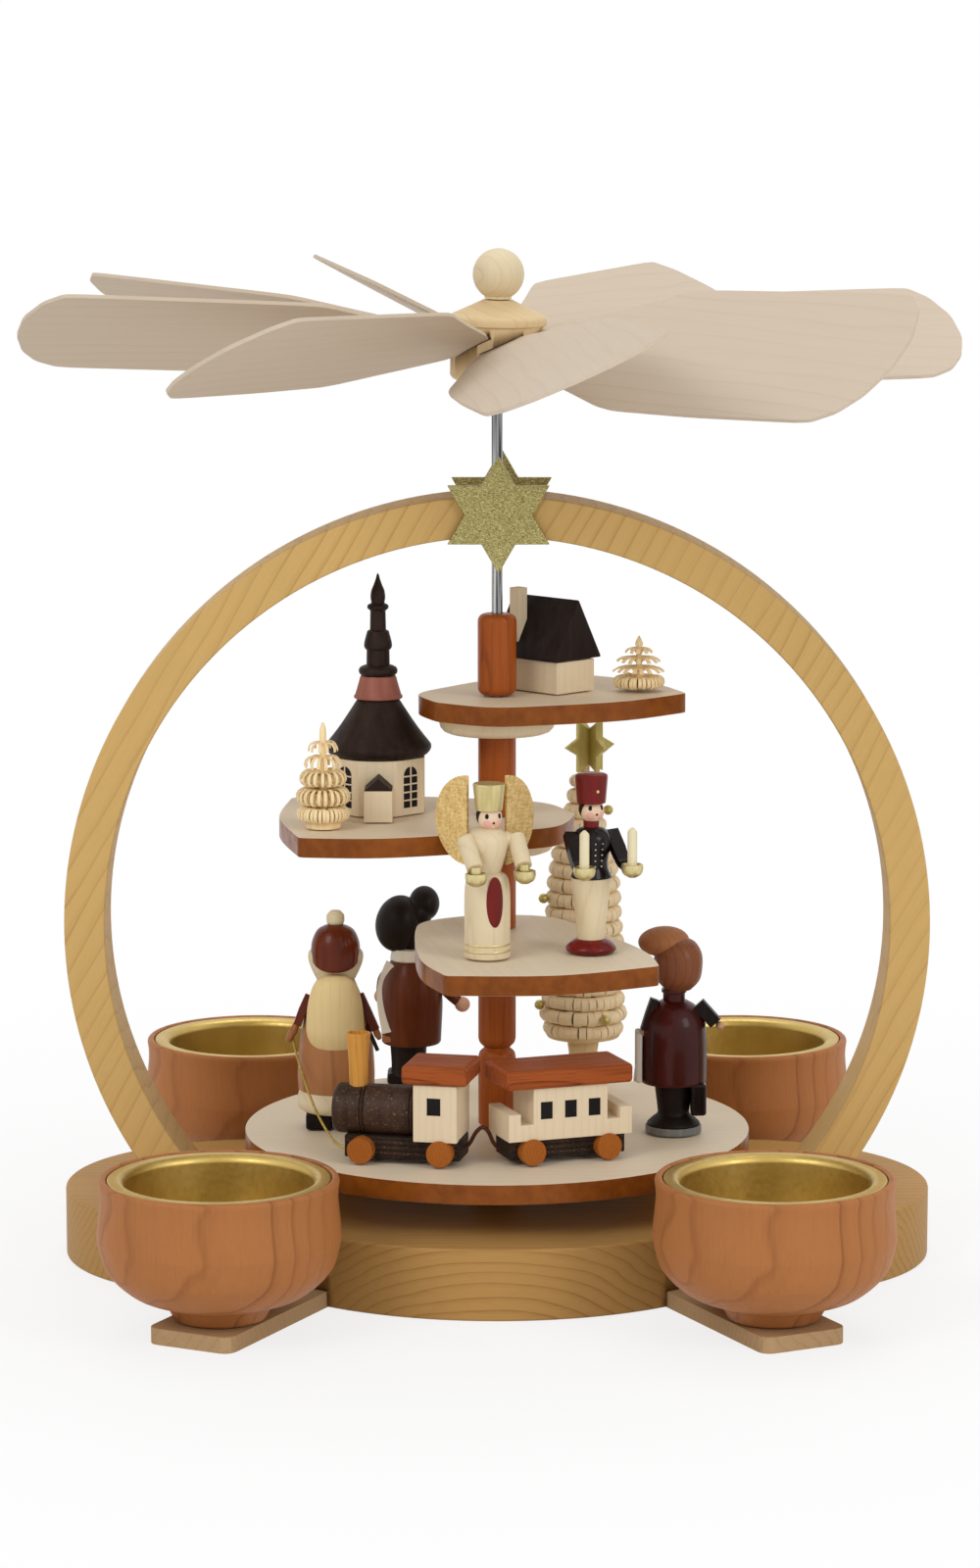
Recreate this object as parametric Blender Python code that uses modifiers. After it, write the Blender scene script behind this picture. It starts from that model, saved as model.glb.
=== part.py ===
"""Candle carousel: an arch on a lobed base board, four tea light cups on arms, and a bladed wheel
that turns a shaft with four tiers of small turned and sawn wooden figures. Sizes are in metres, +Z
is up, and the origin lies on the shaft's axis on the surface that the carousel stands on. The left
is -X, and the side that faces the viewer is -Y."""

from math import acos, atan2, cos, pi, radians, sin, sqrt

import bmesh
import bpy
from mathutils import Euler, Vector

# Gaps: between pieces that rest on each other, and how far a cutter runs past a face
SEAT = 0.0003
OVERRUN = 0.002
WELD = 0.000001
EDGE_ANGLE = radians(32)
FULL_TURN = 2 * pi
DIAGONAL_SHARE = 1 / sqrt(2)

# Base board: a disc with a lobe at each side
BASE_THICKNESS = 0.0157
BASE_RADIUS = 0.0625
LOBE_OFFSET = 0.055
LOBE_RADIUS = 0.042
BASE_FILLET = 0.008
BASE_ROUNDING = 0.0007

# Arms: slats let into the underside of the base, one to each cup
ARM_WIDTH = 0.020
ARM_THICKNESS = 0.0035
ARM_LENGTH = 0.072
ARM_END_X = 0.06442
ARM_END_Y = 0.08386
ARM_ANGLE = radians(63.5)
ARM_CORNER = 0.0025

# Cups and their brass inserts
CUP_INSET = 0.0135
CUP_RADIUS = 0.0257
CUP_HEIGHT = 0.0302
CUP_FOOT_RADIUS = 0.0098
CUP_PEG_RADIUS = 0.003
CUP_PEG_LENGTH = 0.0025
CUP_REBATE_DEPTH = 0.0013
INSERT_FLANGE_RADIUS = 0.0235
INSERT_FLANGE_THICKNESS = 0.0008
INSERT_RADIUS = 0.0207
INSERT_WALL = 0.0007
INSERT_DEPTH = 0.0145

# Arch
ARCH_OUTER_RADIUS = 0.096
ARCH_WIDTH = 0.009
ARCH_INNER_RADIUS = ARCH_OUTER_RADIUS - ARCH_WIDTH
ARCH_DEPTH = 0.018
ARCH_CENTRE_HEIGHT = 0.0753
STAR_RADIUS = 0.0129
STAR_THICKNESS = 0.0015
STAR_DROP = 0.004
STAR_HEIGHT = ARCH_CENTRE_HEIGHT + ARCH_OUTER_RADIUS - STAR_DROP
ARCH_SCREW_RADIUS = 0.0016
ARCH_SCREW_HEAD_RADIUS = 0.0032
ARCH_SCREW_HEAD_HEIGHT = 0.0018
ARCH_SCREW_BITE = 0.0068
ARCH_SCREW_INSET = 0.0032

# Shaft and its two bearings; the shaft's top end is in the wheel's hub
SHAFT_RADIUS = 0.0012
SHAFT_TIP_HEIGHT = 0.016
SHAFT_TIP_LENGTH = 0.003
PAN_RADIUS = 0.005
PAN_TOP = 0.0187
PAN_DEPTH = 0.006
PAN_SOCKET_RADIUS = 0.003
PAN_SOCKET_DEPTH = 0.0032
BUSH_RADIUS = 0.0026
BUSH_FLANGE_RADIUS = 0.0038
BUSH_FLANGE_THICKNESS = 0.0009

# Bladed wheel: it sits on the shaft with the small lean that the photograph shows
WHEEL_RISE = 0.0327
BLADE_HEIGHT = ARCH_CENTRE_HEIGHT + ARCH_OUTER_RADIUS + WHEEL_RISE
SHAFT_BITE = 0.005
SHAFT_TOP = BLADE_HEIGHT + SHAFT_BITE
HUB_RADIUS = 0.0108
HUB_DROP = 0.008
HUB_BOTTOM = BLADE_HEIGHT - HUB_DROP
HUB_HEIGHT = 0.0176
HUB_RIM_HEIGHT = 0.0144
HUB_RIM_THICKNESS = 0.0022
HUB_NECK_RADIUS = 0.0034
HUB_LEAN_X = radians(1.6)
HUB_LEAN_Y = radians(1.2)
KNOB_RADIUS = 0.00565
KNOB_NECK_RADIUS = 0.00295
KNOB_NECK_LENGTH = 0.0005
KNOB_PEG_RADIUS = 0.0015
KNOB_PEG_LENGTH = 0.0022
BLADE_THICKNESS = 0.0009
BLADE_LENGTH = 0.1058
BLADE_HALF_CHORD = 0.0205
BLADE_ROOT = 0.0068
BLADE_ROOT_HALF_WIDTH = 0.0033

# Each blade is set by hand: the way that it points, and its tilt, both in degrees
BLADE_SETTINGS = ((9, 24), (55, 26), (102.5, 27), (142.5, 23), (191.5, 27), (233, 27.5), (276, 25), (318, 38))

# Tiers: their top faces, their thickness and what holds them on the shaft
PLATFORM_TOP = 0.02845
PLATFORM_RADIUS = 0.0566
THIRD_SHELF_TOP = 0.0737
SECOND_SHELF_TOP = 0.0993
TOP_SHELF_TOP = 0.126
TIER_THICKNESS = 0.0044
WASHER_RADIUS = 0.0129
WASHER_THICKNESS = 0.0033
COLUMN_RADIUS = 0.0041
COLUMN_GROOVE_RADIUS = 0.0029
COLUMN_GROOVE_HEIGHT = 0.0205
COLUMN_ROUNDING = 0.0016
HANDLE_LENGTH = 0.0182

# Shelf outlines, seen from above: each is a tongue with two sharp outer corners
SHELF_SIZES = {
    "top": {"azimuth": radians(37), "outer_length": 0.042, "corner_length": 0.0368, "corner_half_width": 0.0215,
            "wide_length": 0.018, "wide_half_width": 0.0235, "waist_half_width": 0.019, "inner_length": 0.0168},
    "second": {"azimuth": radians(184), "outer_length": 0.0485, "corner_length": 0.045, "corner_half_width": 0.028,
               "wide_length": 0.026, "wide_half_width": 0.030, "waist_half_width": 0.0225, "inner_length": 0.0175},
    "third": {"azimuth": radians(-76.5), "outer_length": 0.0563, "corner_length": 0.0513,
              "corner_half_width": 0.0236, "wide_length": 0.032, "wide_half_width": 0.0248,
              "waist_half_width": 0.0188, "inner_length": 0.0172},
}

# Church on the second shelf
CHURCH_X = -0.0265
CHURCH_Y = 0.0055
CHURCH_WIDTH = 0.0205
CHURCH_WALL_HEIGHT = 0.0124
CHURCH_SIDES = 8
CHURCH_ROOF_RADIUS = 0.0121
CHURCH_ROOF_HEIGHT = 0.0125
PORCH_WIDTH = 0.0064
PORCH_LENGTH = 0.0167
PORCH_HEIGHT = 0.0084
SPIRE_RADIUS = 0.0054
SPIRE_HEIGHT = 0.0278

# House on the top shelf
HOUSE_X = 0.0122
HOUSE_Y = 0.0091
HOUSE_TURN = radians(45)
HOUSE_WIDTH = 0.0119
HOUSE_LENGTH = 0.015
HOUSE_WALL_HEIGHT = 0.0071
HOUSE_ROOF_HEIGHT = 0.0133
HOUSE_EAVES = 0.0012
CHIMNEY_WIDTH = 0.003
CHIMNEY_BOTTOM = 0.0015
CHIMNEY_TOP = 0.0154
CHIMNEY_X = -0.0043
CHIMNEY_Y = 0.0062

# Trees with curled shavings, drawn here as stacked rings
PINE_X = 0.020
PINE_Y = 0.038
PINE_HEIGHT = 0.070
PINE_RADIUS = 0.0103
PINE_TRUNK_RADIUS = 0.0035
PINE_TRUNK_LENGTH = 0.0108
PINE_TIERS = 8
PINE_TOP_TIER_RADIUS = 0.0046
PINE_STAR_RADIUS = 0.0064
PINE_STAR_RISE = 0.01045
PINE_STAR_TURN = radians(34)
PINE_STAR_THICKNESS = 0.0012
SMALL_TREES = {
    "church_tree": {"x": -0.0380, "y": -0.0190, "height": 0.0234, "radius": 0.0062, "tiers": 4},
    "house_tree": {"x": 0.0317, "y": 0.0080, "height": 0.0124, "radius": 0.0059, "tiers": 3},
}
SMALL_TRUNK_RADIUS = 0.0009

# Figures: where their feet stand and which way they look
ANGEL_X = -0.0021
ANGEL_Y = -0.0360
ANGEL_TURN = radians(20)
ANGEL_HEIGHT = 0.0387
ANGEL_RADIUS = 0.0056
WING_RADIUS = 0.00975
WING_THICKNESS = 0.001
WING_SPREAD = radians(49)
WING_TURN = radians(-16)
MINER_X = 0.0204
MINER_Y = -0.0295
MINER_TURN = radians(23)
MINER_HEIGHT = 0.0394
MINER_RADIUS = 0.0062
CANDLE_RADIUS = 0.00105
CANDLE_LENGTH = 0.0083
CANDLE_CUP_RADIUS = 0.0023
GNOME_X = -0.0357
GNOME_Y = -0.0010
GNOME_HEIGHT = 0.0500
GNOME_RADIUS = 0.0085
GNOME_SACK_RADIUS = 0.0066
HAT_MAN_X = -0.0200
HAT_MAN_Y = 0.0440
HAT_MAN_HEIGHT = 0.0405
HAT_MAN_RADIUS = 0.0066
COAT_MAN_X = 0.0394
COAT_MAN_Y = -0.0068
COAT_MAN_HEIGHT = 0.0440
COAT_MAN_RADIUS = 0.0074
ARM_STICK_RADIUS = 0.0014
HAND_RADIUS = 0.0018

# Train on the platform
WHEEL_RADIUS = 0.0029
WHEEL_SPACING = 0.0176
TRAIN_HALF_WIDTH = 0.0074
CHASSIS_WIDTH = 0.0094
CHASSIS_CLEARANCE = 0.001
CHASSIS_TOP = 0.0058
BODY_BOTTOM = 0.0054
BODY_WIDTH = 0.013
TRAIN_ROOF_WIDTH = 0.015
TRAIN_ROOF_BEVEL = 0.0007
ENGINE_X = -0.0197
ENGINE_Y = -0.0336
ENGINE_TURN = radians(-12)
ENGINE_CHASSIS_LENGTH = 0.0256
BOILER_RADIUS = 0.0055
BOILER_HEIGHT = 0.0109
BOILER_END = -0.0158
BOILER_ROUNDING = 0.0014
CAB_START = 0.0029
CAB_LENGTH = 0.0097
CAB_HEIGHT = 0.0126
ENGINE_ROOF_LENGTH = 0.0146
ENGINE_ROOF_THICKNESS = 0.004
FUNNEL_X = -0.0109
FUNNEL_RADIUS = 0.0027
FUNNEL_TOP = 0.0277
WAGON_X = 0.0138
WAGON_Y = -0.0308
WAGON_TURN = radians(20)
WAGON_CHASSIS_LENGTH = 0.0266
WAGON_LENGTH = 0.0286
WAGON_FLOOR = 0.0036
WAGON_RAIL_HEIGHT = 0.0061
WAGON_RAIL_THICKNESS = 0.0028
WAGON_CABIN_LENGTH = 0.0172
WAGON_CABIN_HEIGHT = 0.0118
WAGON_ROOF_LENGTH = 0.0285
WAGON_ROOF_THICKNESS = 0.0036

# Cords: their routes are points chosen by hand, in world coordinates
LEASH_RADIUS = 0.00028
LEASH_ROUTE = (
    (-0.04568, -0.00418, 0.04928),
    (-0.0446, -0.0082, 0.0463),
    (-0.0425, -0.0145, 0.0415),
    (-0.0400, -0.0210, 0.0368),
    (-0.0368, -0.0270, 0.0326),
    (-0.0347, -0.0298, 0.0310),
    (-0.03255, -0.0309, 0.0305),
)
LEASH_STEPS = 5
COUPLING_RADIUS = 0.00045
COUPLING_ROUTE = (
    (-0.00685, -0.0363, 0.0320),
    (-0.0059, -0.0366, 0.0330),
    (-0.0046, -0.0369, 0.0354),
    (-0.0032, -0.0370, 0.0366),
    (-0.0019, -0.0368, 0.0356),
    (-0.0009, -0.0363, 0.0332),
    (0.0001, -0.0358, 0.0319),
    (0.00095, -0.0355, 0.0316),
)
COUPLING_STEPS = 1

# How finely round pieces are divided
ROUND_STEPS = 24
FINE_STEPS = 24
SMALL_STEPS = 12
TINY_STEPS = 8
CORD_SIDES = 2

# Turned profiles, from the top down, as shares of a piece's radius and height
CUP_SHARES = ((0.985, 1), (0.975, 0.85), (1, 0.62), (0.996, 0.546), (0.953, 0.397), (0.891, 0.315),
              (0.809, 0.245), (0.70, 0.179), (0.553, 0.132), (0.455, 0.103))
SPIRE_SHARES = ((0.05, 1), (0.14, 0.97), (0.30, 0.83), (0.20, 0.79), (0.44, 0.735), (0.36, 0.70), (0.36, 0.565),
                (0.46, 0.55), (0.60, 0.42), (0.48, 0.40), (0.48, 0.30), (0.80, 0.285), (0.80, 0.205), (0.70, 0.19),
                (1, 0.035), (1, 0))
ANGEL_SHARES = ((0.40, 1), (0.62, 0.985), (0.60, 0.94), (0.50, 0.83), (0.49, 0.77), (0.38, 0.735), (0.62, 0.725),
                (0.92, 0.67), (1, 0.60), (0.99, 0.49), (0.86, 0.47), (0.87, 0.20), (0.90, 0.03), (0.84, 0))
MINER_SHARES = ((0.58, 1), (0.58, 0.97), (0.51, 0.84), (0.45, 0.76), (0.26, 0.735), (0.26, 0.705),
                (0.62, 0.69), (0.98, 0.60), (0.92, 0.52), (0.74, 0.45), (0.70, 0.40), (0.50, 0.085),
                (0.60, 0.07), (0.89, 0.03), (0.87, 0))
GNOME_SHARES = ((0.235, 0.99), (0.24, 0.915), (0.55, 0.89), (0.67, 0.80), (0.71, 0.735), (0.69, 0.68), (0.62, 0.655),
                (0.74, 0.60), (0.90, 0.44), (1, 0.29), (0.99, 0.17), (1.04, 0.16), (1.04, 0.075), (0.72, 0.073),
                (0.72, 0))
HAT_MAN_SHARES = ((0.35, 0.78), (0.35, 0.72), (0.70, 0.69), (0.92, 0.58), (1, 0.40), (1, 0.26), (0.92, 0.235),
                  (0.66, 0.23), (0.60, 0.10), (0.72, 0.06), (0.72, 0))
COAT_MAN_SHARES = ((0.36, 0.76), (0.36, 0.71), (0.70, 0.67), (0.93, 0.58), (1, 0.42), (0.98, 0.28), (0.74, 0.27),
                   (0.54, 0.10), (0.74, 0.05), (0.84, 0.035), (0.84, 0))

# Blade outline: shares of its reach and of its half chord, round from the root
BLADE_SHARES = ((0.118, 0.34), (0.266, 0.71), (0.392, 1.05), (0.454, 1.10), (0.885, 1.28), (0.925, 1.28), (0.963, 1.08),
                (0.995, 0.67), (1, 0.20), (0.982, -0.20), (0.950, -0.48), (0.900, -0.66), (0.622, -0.76),
                (0.420, -0.79), (0.371, -0.75), (0.264, -0.57), (0.118, -0.33))


def clear_scene():
    for obj in list(bpy.data.objects):
        bpy.data.objects.remove(obj, do_unlink=True)


def collection(name):
    made = bpy.data.collections.new(name)
    bpy.context.scene.collection.children.link(made)
    return made


def material(name, colour, roughness=0.5, metallic=0.0):
    made = bpy.data.materials.new(name)
    made.use_nodes = True
    shader = made.node_tree.nodes["Principled BSDF"]
    shader.inputs["Base Color"].default_value = (*colour, 1)
    shader.inputs["Roughness"].default_value = roughness
    shader.inputs["Metallic"].default_value = metallic
    made.diffuse_color = (*colour, 1)
    return made


def placed(obj, paint, at=(0, 0, 0), turn=(0, 0, 0), parent=None):
    """Puts a new object in the carousel's collection, at its place and with its material."""
    PARTS.objects.link(obj)
    obj.location = at
    obj.rotation_euler = turn
    obj.parent = parent
    if paint:
        obj.data.materials.append(paint)
    return obj


def frame(name, at=(0, 0, 0), turn=(0, 0, 0), parent=None):
    """An empty that carries other objects."""
    empty = bpy.data.objects.new(name, None)
    return placed(empty, None, at, turn, parent)


def from_bmesh(name, shape, paint, **where):
    mesh = bpy.data.meshes.new(name)
    shape.to_mesh(mesh)
    shape.free()
    return placed(bpy.data.objects.new(name, mesh), paint, **where)


def box(name, size, paint, centre=(0, 0, 0), **where):
    """A box of this size around its centre."""
    shape = bmesh.new()
    bmesh.ops.create_cube(shape, size=1)
    bmesh.ops.scale(shape, vec=size, verts=shape.verts)
    bmesh.ops.translate(shape, vec=centre, verts=shape.verts)
    return from_bmesh(name, shape, paint, **where)


def ball(name, radii, paint, steps=SMALL_STEPS, **where):
    """An ellipsoid with these three radii."""
    shape = bmesh.new()
    bmesh.ops.create_uvsphere(shape, u_segments=steps, v_segments=steps // 2, radius=1)
    bmesh.ops.scale(shape, vec=radii, verts=shape.verts)
    return from_bmesh(name, shape, paint, **where)


def rod(name, start, end, radius, paint, end_radius=None, steps=TINY_STEPS, **where):
    """A round stick between two points."""
    start = Vector(start)
    run = Vector(end) - start
    shape = bmesh.new()
    bmesh.ops.create_cone(shape, cap_ends=True, segments=steps, radius1=radius, radius2=end_radius or radius,
                          depth=run.length)
    bmesh.ops.rotate(shape, verts=shape.verts, matrix=run.to_track_quat("Z", "Y").to_matrix())
    bmesh.ops.translate(shape, vec=start + run / 2, verts=shape.verts)
    return from_bmesh(name, shape, paint, **where)


def turned(name, profile, paint, steps=ROUND_STEPS, ring=False, **where):
    """A profile of (radius, height) points, run from the top down, turned round the Z axis."""
    mesh = bpy.data.meshes.new(name)
    last = len(profile) - 1
    edges = [(i, i + 1) for i in range(last)]
    if ring:
        edges.append((last, 0))
    mesh.from_pydata([(radius, 0, height) for radius, height in profile], edges, [])
    obj = placed(bpy.data.objects.new(name, mesh), paint, **where)
    screw = obj.modifiers.new("turn", "SCREW")
    screw.axis = "Z"
    screw.angle = FULL_TURN
    screw.steps = steps
    screw.render_steps = steps
    screw.use_merge_vertices = True
    screw.merge_threshold = WELD
    return obj


def scaled(shares, radius, height):
    """Turned shares as a profile that is closed at the axis."""
    profile = [(r * radius, z * height) for r, z in shares]
    return [(0, profile[0][1]), *profile, (0, profile[-1][1])]


def slab(name, outline, thickness, paint, **where):
    """A flat outline, thickened evenly to both sides of its plane."""
    curve = bpy.data.curves.new(name, "CURVE")
    curve.dimensions = "2D"
    curve.fill_mode = "BOTH"
    curve.extrude = thickness / 2
    spline = curve.splines.new("POLY")
    spline.points.add(len(outline) - 1)
    for point, (x, y) in zip(spline.points, outline):
        point.co = (x, y, 0, 1)
    spline.use_cyclic_u = True
    return as_mesh(name, curve, paint, **where)


def as_mesh(name, curve, paint, **where):
    """The solid that a curve draws, as a mesh whose caps are welded to its sides."""
    drawn = bpy.data.objects.new(name, curve)
    PARTS.objects.link(drawn)
    mesh = bpy.data.meshes.new_from_object(drawn.evaluated_get(bpy.context.evaluated_depsgraph_get()))
    bpy.data.objects.remove(drawn, do_unlink=True)
    shape = bmesh.new()
    shape.from_mesh(mesh)
    bmesh.ops.remove_doubles(shape, verts=shape.verts, dist=WELD)
    bmesh.ops.recalc_face_normals(shape, faces=shape.faces)
    shape.to_mesh(mesh)
    shape.free()
    mesh.materials.clear()
    return placed(bpy.data.objects.new(name, mesh), paint, **where)


def combined(obj, others, operation):
    """Joins the others to an object or cuts them from it, and puts them away as helpers."""
    for other in others:
        step = obj.modifiers.new(other.name, "BOOLEAN")
        step.operation = operation
        step.solver = "EXACT"
        step.object = other
        if PARTS in other.users_collection:
            PARTS.objects.unlink(other)
            HELPERS.objects.link(other)
            other.hide_render = True
            other.display_type = "WIRE"
    return obj


def cut(obj, *cutters):
    return combined(obj, cutters, "DIFFERENCE")


def joined(obj, *pieces):
    return combined(obj, pieces, "UNION")


def rounded(obj, width, segments=1):
    bevel = obj.modifiers.new("rounding", "BEVEL")
    bevel.width = width
    bevel.segments = segments
    bevel.limit_method = "ANGLE"
    bevel.angle_limit = EDGE_ANGLE
    return obj


def arc(centre, radius, start, end, steps):
    """Points along an arc, both ends included."""
    angles = [start + (end - start) * i / steps for i in range(steps + 1)]
    return [(centre[0] + radius * cos(a), centre[1] + radius * sin(a)) for a in angles]


def smooth_run(points, pieces):
    """Points on a smooth curve through these, with this many steps between two of them."""
    run = []
    ends = [points[0], *points, points[-1]]
    for before, start, end, after in zip(ends, ends[1:], ends[2:], ends[3:]):
        for i in range(pieces):
            t = i / pieces
            run.append(tuple(
                ((2 * b) + (c - a) * t + (2 * a - 5 * b + 4 * c - d) * t**2 + (3 * b - a - 3 * c + d) * t**3) / 2
                for a, b, c, d in zip(before, start, end, after)
            ))
    return [*run, tuple(points[-1])]


def base_outline():
    """A disc with a lobe at each side, joined by small fillets."""
    reach = BASE_RADIUS + BASE_FILLET
    lobe_reach = LOBE_RADIUS + BASE_FILLET
    bearing = acos((reach**2 + LOBE_OFFSET**2 - lobe_reach**2) / (2 * reach * LOBE_OFFSET))
    fillet = (reach * cos(bearing), reach * sin(bearing))
    lobe_bearing = atan2(fillet[1], fillet[0] - LOBE_OFFSET)
    lobe = arc((LOBE_OFFSET, 0), LOBE_RADIUS, 0, lobe_bearing, ROUND_STEPS // 2 - 1)
    inside = arc(fillet, BASE_FILLET, pi + lobe_bearing, pi + bearing, 3)
    middle = arc((0, 0), BASE_RADIUS, bearing, pi / 2, 5)
    quarter = [*lobe, *inside[1:], *middle[1:]]
    half = [*quarter, *[(-x, y) for x, y in reversed(quarter[:-1])]]
    return [*half, *[(x, -y) for x, y in reversed(half[1:-1])]]


def arm_outline(clearance=0.0, overrun=0.0):
    """A slat from its inner end at the origin, along +X, with rounded corners at its outer end."""
    half = ARM_WIDTH / 2 + clearance
    end = ARM_LENGTH + overrun
    turn = ARM_CORNER
    upper = arc((end - turn, half - turn), turn, pi / 2, 0, 3)
    lower = arc((end - turn, turn - half), turn, 0, -pi / 2, 3)
    return [(-clearance, -half), (-clearance, half), *upper, *lower]


def arm_places():
    """For each of the four arms: a name, its inner end and the angle that it points at."""
    inner_x = ARM_END_X - ARM_LENGTH * cos(ARM_ANGLE)
    inner_y = ARM_END_Y - ARM_LENGTH * sin(ARM_ANGLE)
    for side, x_sign in (("left", -1), ("right", 1)):
        for end, y_sign in (("front", -1), ("back", 1)):
            angle = atan2(y_sign * sin(ARM_ANGLE), x_sign * cos(ARM_ANGLE))
            yield f"{end}_{side}", (x_sign * inner_x, y_sign * inner_y), angle


def cup_place(inner, angle):
    along = ARM_LENGTH - CUP_INSET
    return inner[0] + along * cos(angle), inner[1] + along * sin(angle)


def make_base():
    """The board, with pockets for the arms, a seat for the bearing pan and holes for the arch's screws."""
    board = slab("base_board", base_outline(), BASE_THICKNESS, ASH, at=(0, 0, BASE_THICKNESS / 2))
    rounded(board, BASE_ROUNDING)
    pocket_height = ARM_THICKNESS + SEAT + OVERRUN
    pockets = [
        slab(f"pocket_{name}", arm_outline(SEAT, OVERRUN), pocket_height, None,
             at=(*inner, ARM_THICKNESS + SEAT - pocket_height / 2), turn=(0, 0, angle))
        for name, inner, angle in arm_places()
    ]
    seat_floor = BASE_THICKNESS - PAN_DEPTH - SEAT
    seat = rod("pan_seat", (0, 0, seat_floor), (0, 0, BASE_THICKNESS + OVERRUN), PAN_RADIUS + SEAT, None,
               steps=ROUND_STEPS)
    return cut(board, *pockets, seat, *[screw_space(f"screw_space_{side}", x) for side, x in arch_feet()])


def arch_feet():
    """Where the screws go into the arch's feet, near its outside because it leans out from there."""
    drop = ARCH_CENTRE_HEIGHT - BASE_THICKNESS
    reach = sqrt(ARCH_OUTER_RADIUS**2 - drop**2) - ARCH_SCREW_INSET
    return (("left", -reach), ("right", reach))


def screw_profile(clearance=0.0):
    """A countersunk screw upside down: head at the base's underside, shank up into the arch."""
    head = ARCH_SCREW_HEAD_RADIUS + clearance
    shank = ARCH_SCREW_RADIUS + clearance
    start = clearance and -OVERRUN
    top = BASE_THICKNESS + ARCH_SCREW_BITE + clearance
    return [(0, top), (shank, top), (shank, ARCH_SCREW_HEAD_HEIGHT + clearance), (head, clearance), (head, start),
            (0, start)]


def screw_space(name, x):
    return turned(name, screw_profile(SEAT), None, steps=TINY_STEPS, at=(x, 0, 0))


def make_arm(name, inner, angle):
    arm = slab(f"arm_{name}", arm_outline(), ARM_THICKNESS, BEECH, at=(*inner, ARM_THICKNESS / 2), turn=(0, 0, angle))
    x, y = cup_place(inner, angle)
    hole = rod(f"peg_hole_{name}", (x, y, -OVERRUN), (x, y, ARM_THICKNESS + OVERRUN), CUP_PEG_RADIUS + SEAT, None,
               steps=SMALL_STEPS)
    return cut(arm, hole)


def make_cup(name, inner, angle):
    """A turned cup with a rebate for its insert and a peg that is glued into the arm."""
    rebate_radius = INSERT_FLANGE_RADIUS + SEAT
    rebate_floor = CUP_HEIGHT - CUP_REBATE_DEPTH
    bore = INSERT_RADIUS + SEAT
    bore_floor = rebate_floor - INSERT_DEPTH - SEAT
    outside = [(r * CUP_RADIUS, z * CUP_HEIGHT) for r, z in CUP_SHARES]
    profile = [(0, bore_floor), (bore, bore_floor), (bore, rebate_floor), (rebate_radius, rebate_floor),
               (rebate_radius, CUP_HEIGHT), *outside, (CUP_FOOT_RADIUS, 0), (CUP_PEG_RADIUS, 0),
               (CUP_PEG_RADIUS, -CUP_PEG_LENGTH), (0, -CUP_PEG_LENGTH)]
    x, y = cup_place(inner, angle)
    return turned(f"cup_{name}", profile, CHERRY, steps=FINE_STEPS, at=(x, y, ARM_THICKNESS + SEAT))


def make_insert(name, inner, angle):
    """A pressed brass pan with a flange, which lies loose in its cup."""
    top = INSERT_FLANGE_THICKNESS
    well = INSERT_RADIUS - INSERT_WALL
    floor = INSERT_WALL - INSERT_DEPTH
    profile = [(0, floor), (well, floor), (well, top), (INSERT_FLANGE_RADIUS, top), (INSERT_FLANGE_RADIUS, 0),
               (INSERT_RADIUS, 0), (INSERT_RADIUS, -INSERT_DEPTH), (0, -INSERT_DEPTH)]
    x, y = cup_place(inner, angle)
    seat = ARM_THICKNESS + SEAT + CUP_HEIGHT - CUP_REBATE_DEPTH + SEAT
    return turned(f"insert_{name}", profile, BRASS, steps=ROUND_STEPS, at=(x, y, seat))


def make_arch():
    """A ring cut off at the base's top face, bored at its crown for the bush and in its feet for screws."""
    foot = BASE_THICKNESS + SEAT
    drop = ARCH_CENTRE_HEIGHT - foot
    centre = (0, ARCH_CENTRE_HEIGHT)
    outer_start = -acos(sqrt(ARCH_OUTER_RADIUS**2 - drop**2) / ARCH_OUTER_RADIUS)
    inner_start = -acos(sqrt(ARCH_INNER_RADIUS**2 - drop**2) / ARCH_INNER_RADIUS)
    outline = [*arc(centre, ARCH_OUTER_RADIUS, outer_start, pi - outer_start, 2 * FINE_STEPS),
               *arc(centre, ARCH_INNER_RADIUS, pi - inner_start, inner_start, 2 * FINE_STEPS)]
    arch = slab("arch", outline, ARCH_DEPTH, ASH, turn=(pi / 2, 0, 0))
    crown = ARCH_CENTRE_HEIGHT + ARCH_OUTER_RADIUS
    inside = ARCH_CENTRE_HEIGHT + ARCH_INNER_RADIUS
    bore = rod("bush_bore", (0, 0, inside - OVERRUN), (0, 0, crown + OVERRUN), BUSH_RADIUS + SEAT, None,
               steps=SMALL_STEPS)
    return cut(arch, bore, *[screw_space(f"screw_bore_{side}", x) for side, x in arch_feet()])


def make_screw(side, x):
    return turned(f"arch_screw_{side}", screw_profile(), STEEL, steps=TINY_STEPS, at=(x, 0, 0))


def star_outline(radius):
    """A six-pointed star with one point up."""
    radii = (radius, radius / sqrt(3))
    return [(radii[i % 2] * sin(i * pi / 6), radii[i % 2] * cos(i * pi / 6)) for i in range(12)]


def make_star(name, side):
    away = side * (ARCH_DEPTH / 2 + SEAT + STAR_THICKNESS / 2)
    return slab(name, star_outline(STAR_RADIUS), STAR_THICKNESS, GOLD, at=(0, away, STAR_HEIGHT), turn=(pi / 2, 0, 0))


def make_pan():
    """The pan in the base that the shaft's point turns in."""
    floor = BASE_THICKNESS - PAN_DEPTH
    profile = [(0, PAN_TOP - PAN_SOCKET_DEPTH), (PAN_SOCKET_RADIUS, PAN_TOP), (PAN_RADIUS, PAN_TOP),
               (PAN_RADIUS, floor), (0, floor)]
    return turned("bearing_pan", profile, BRASS, steps=SMALL_STEPS)


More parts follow.
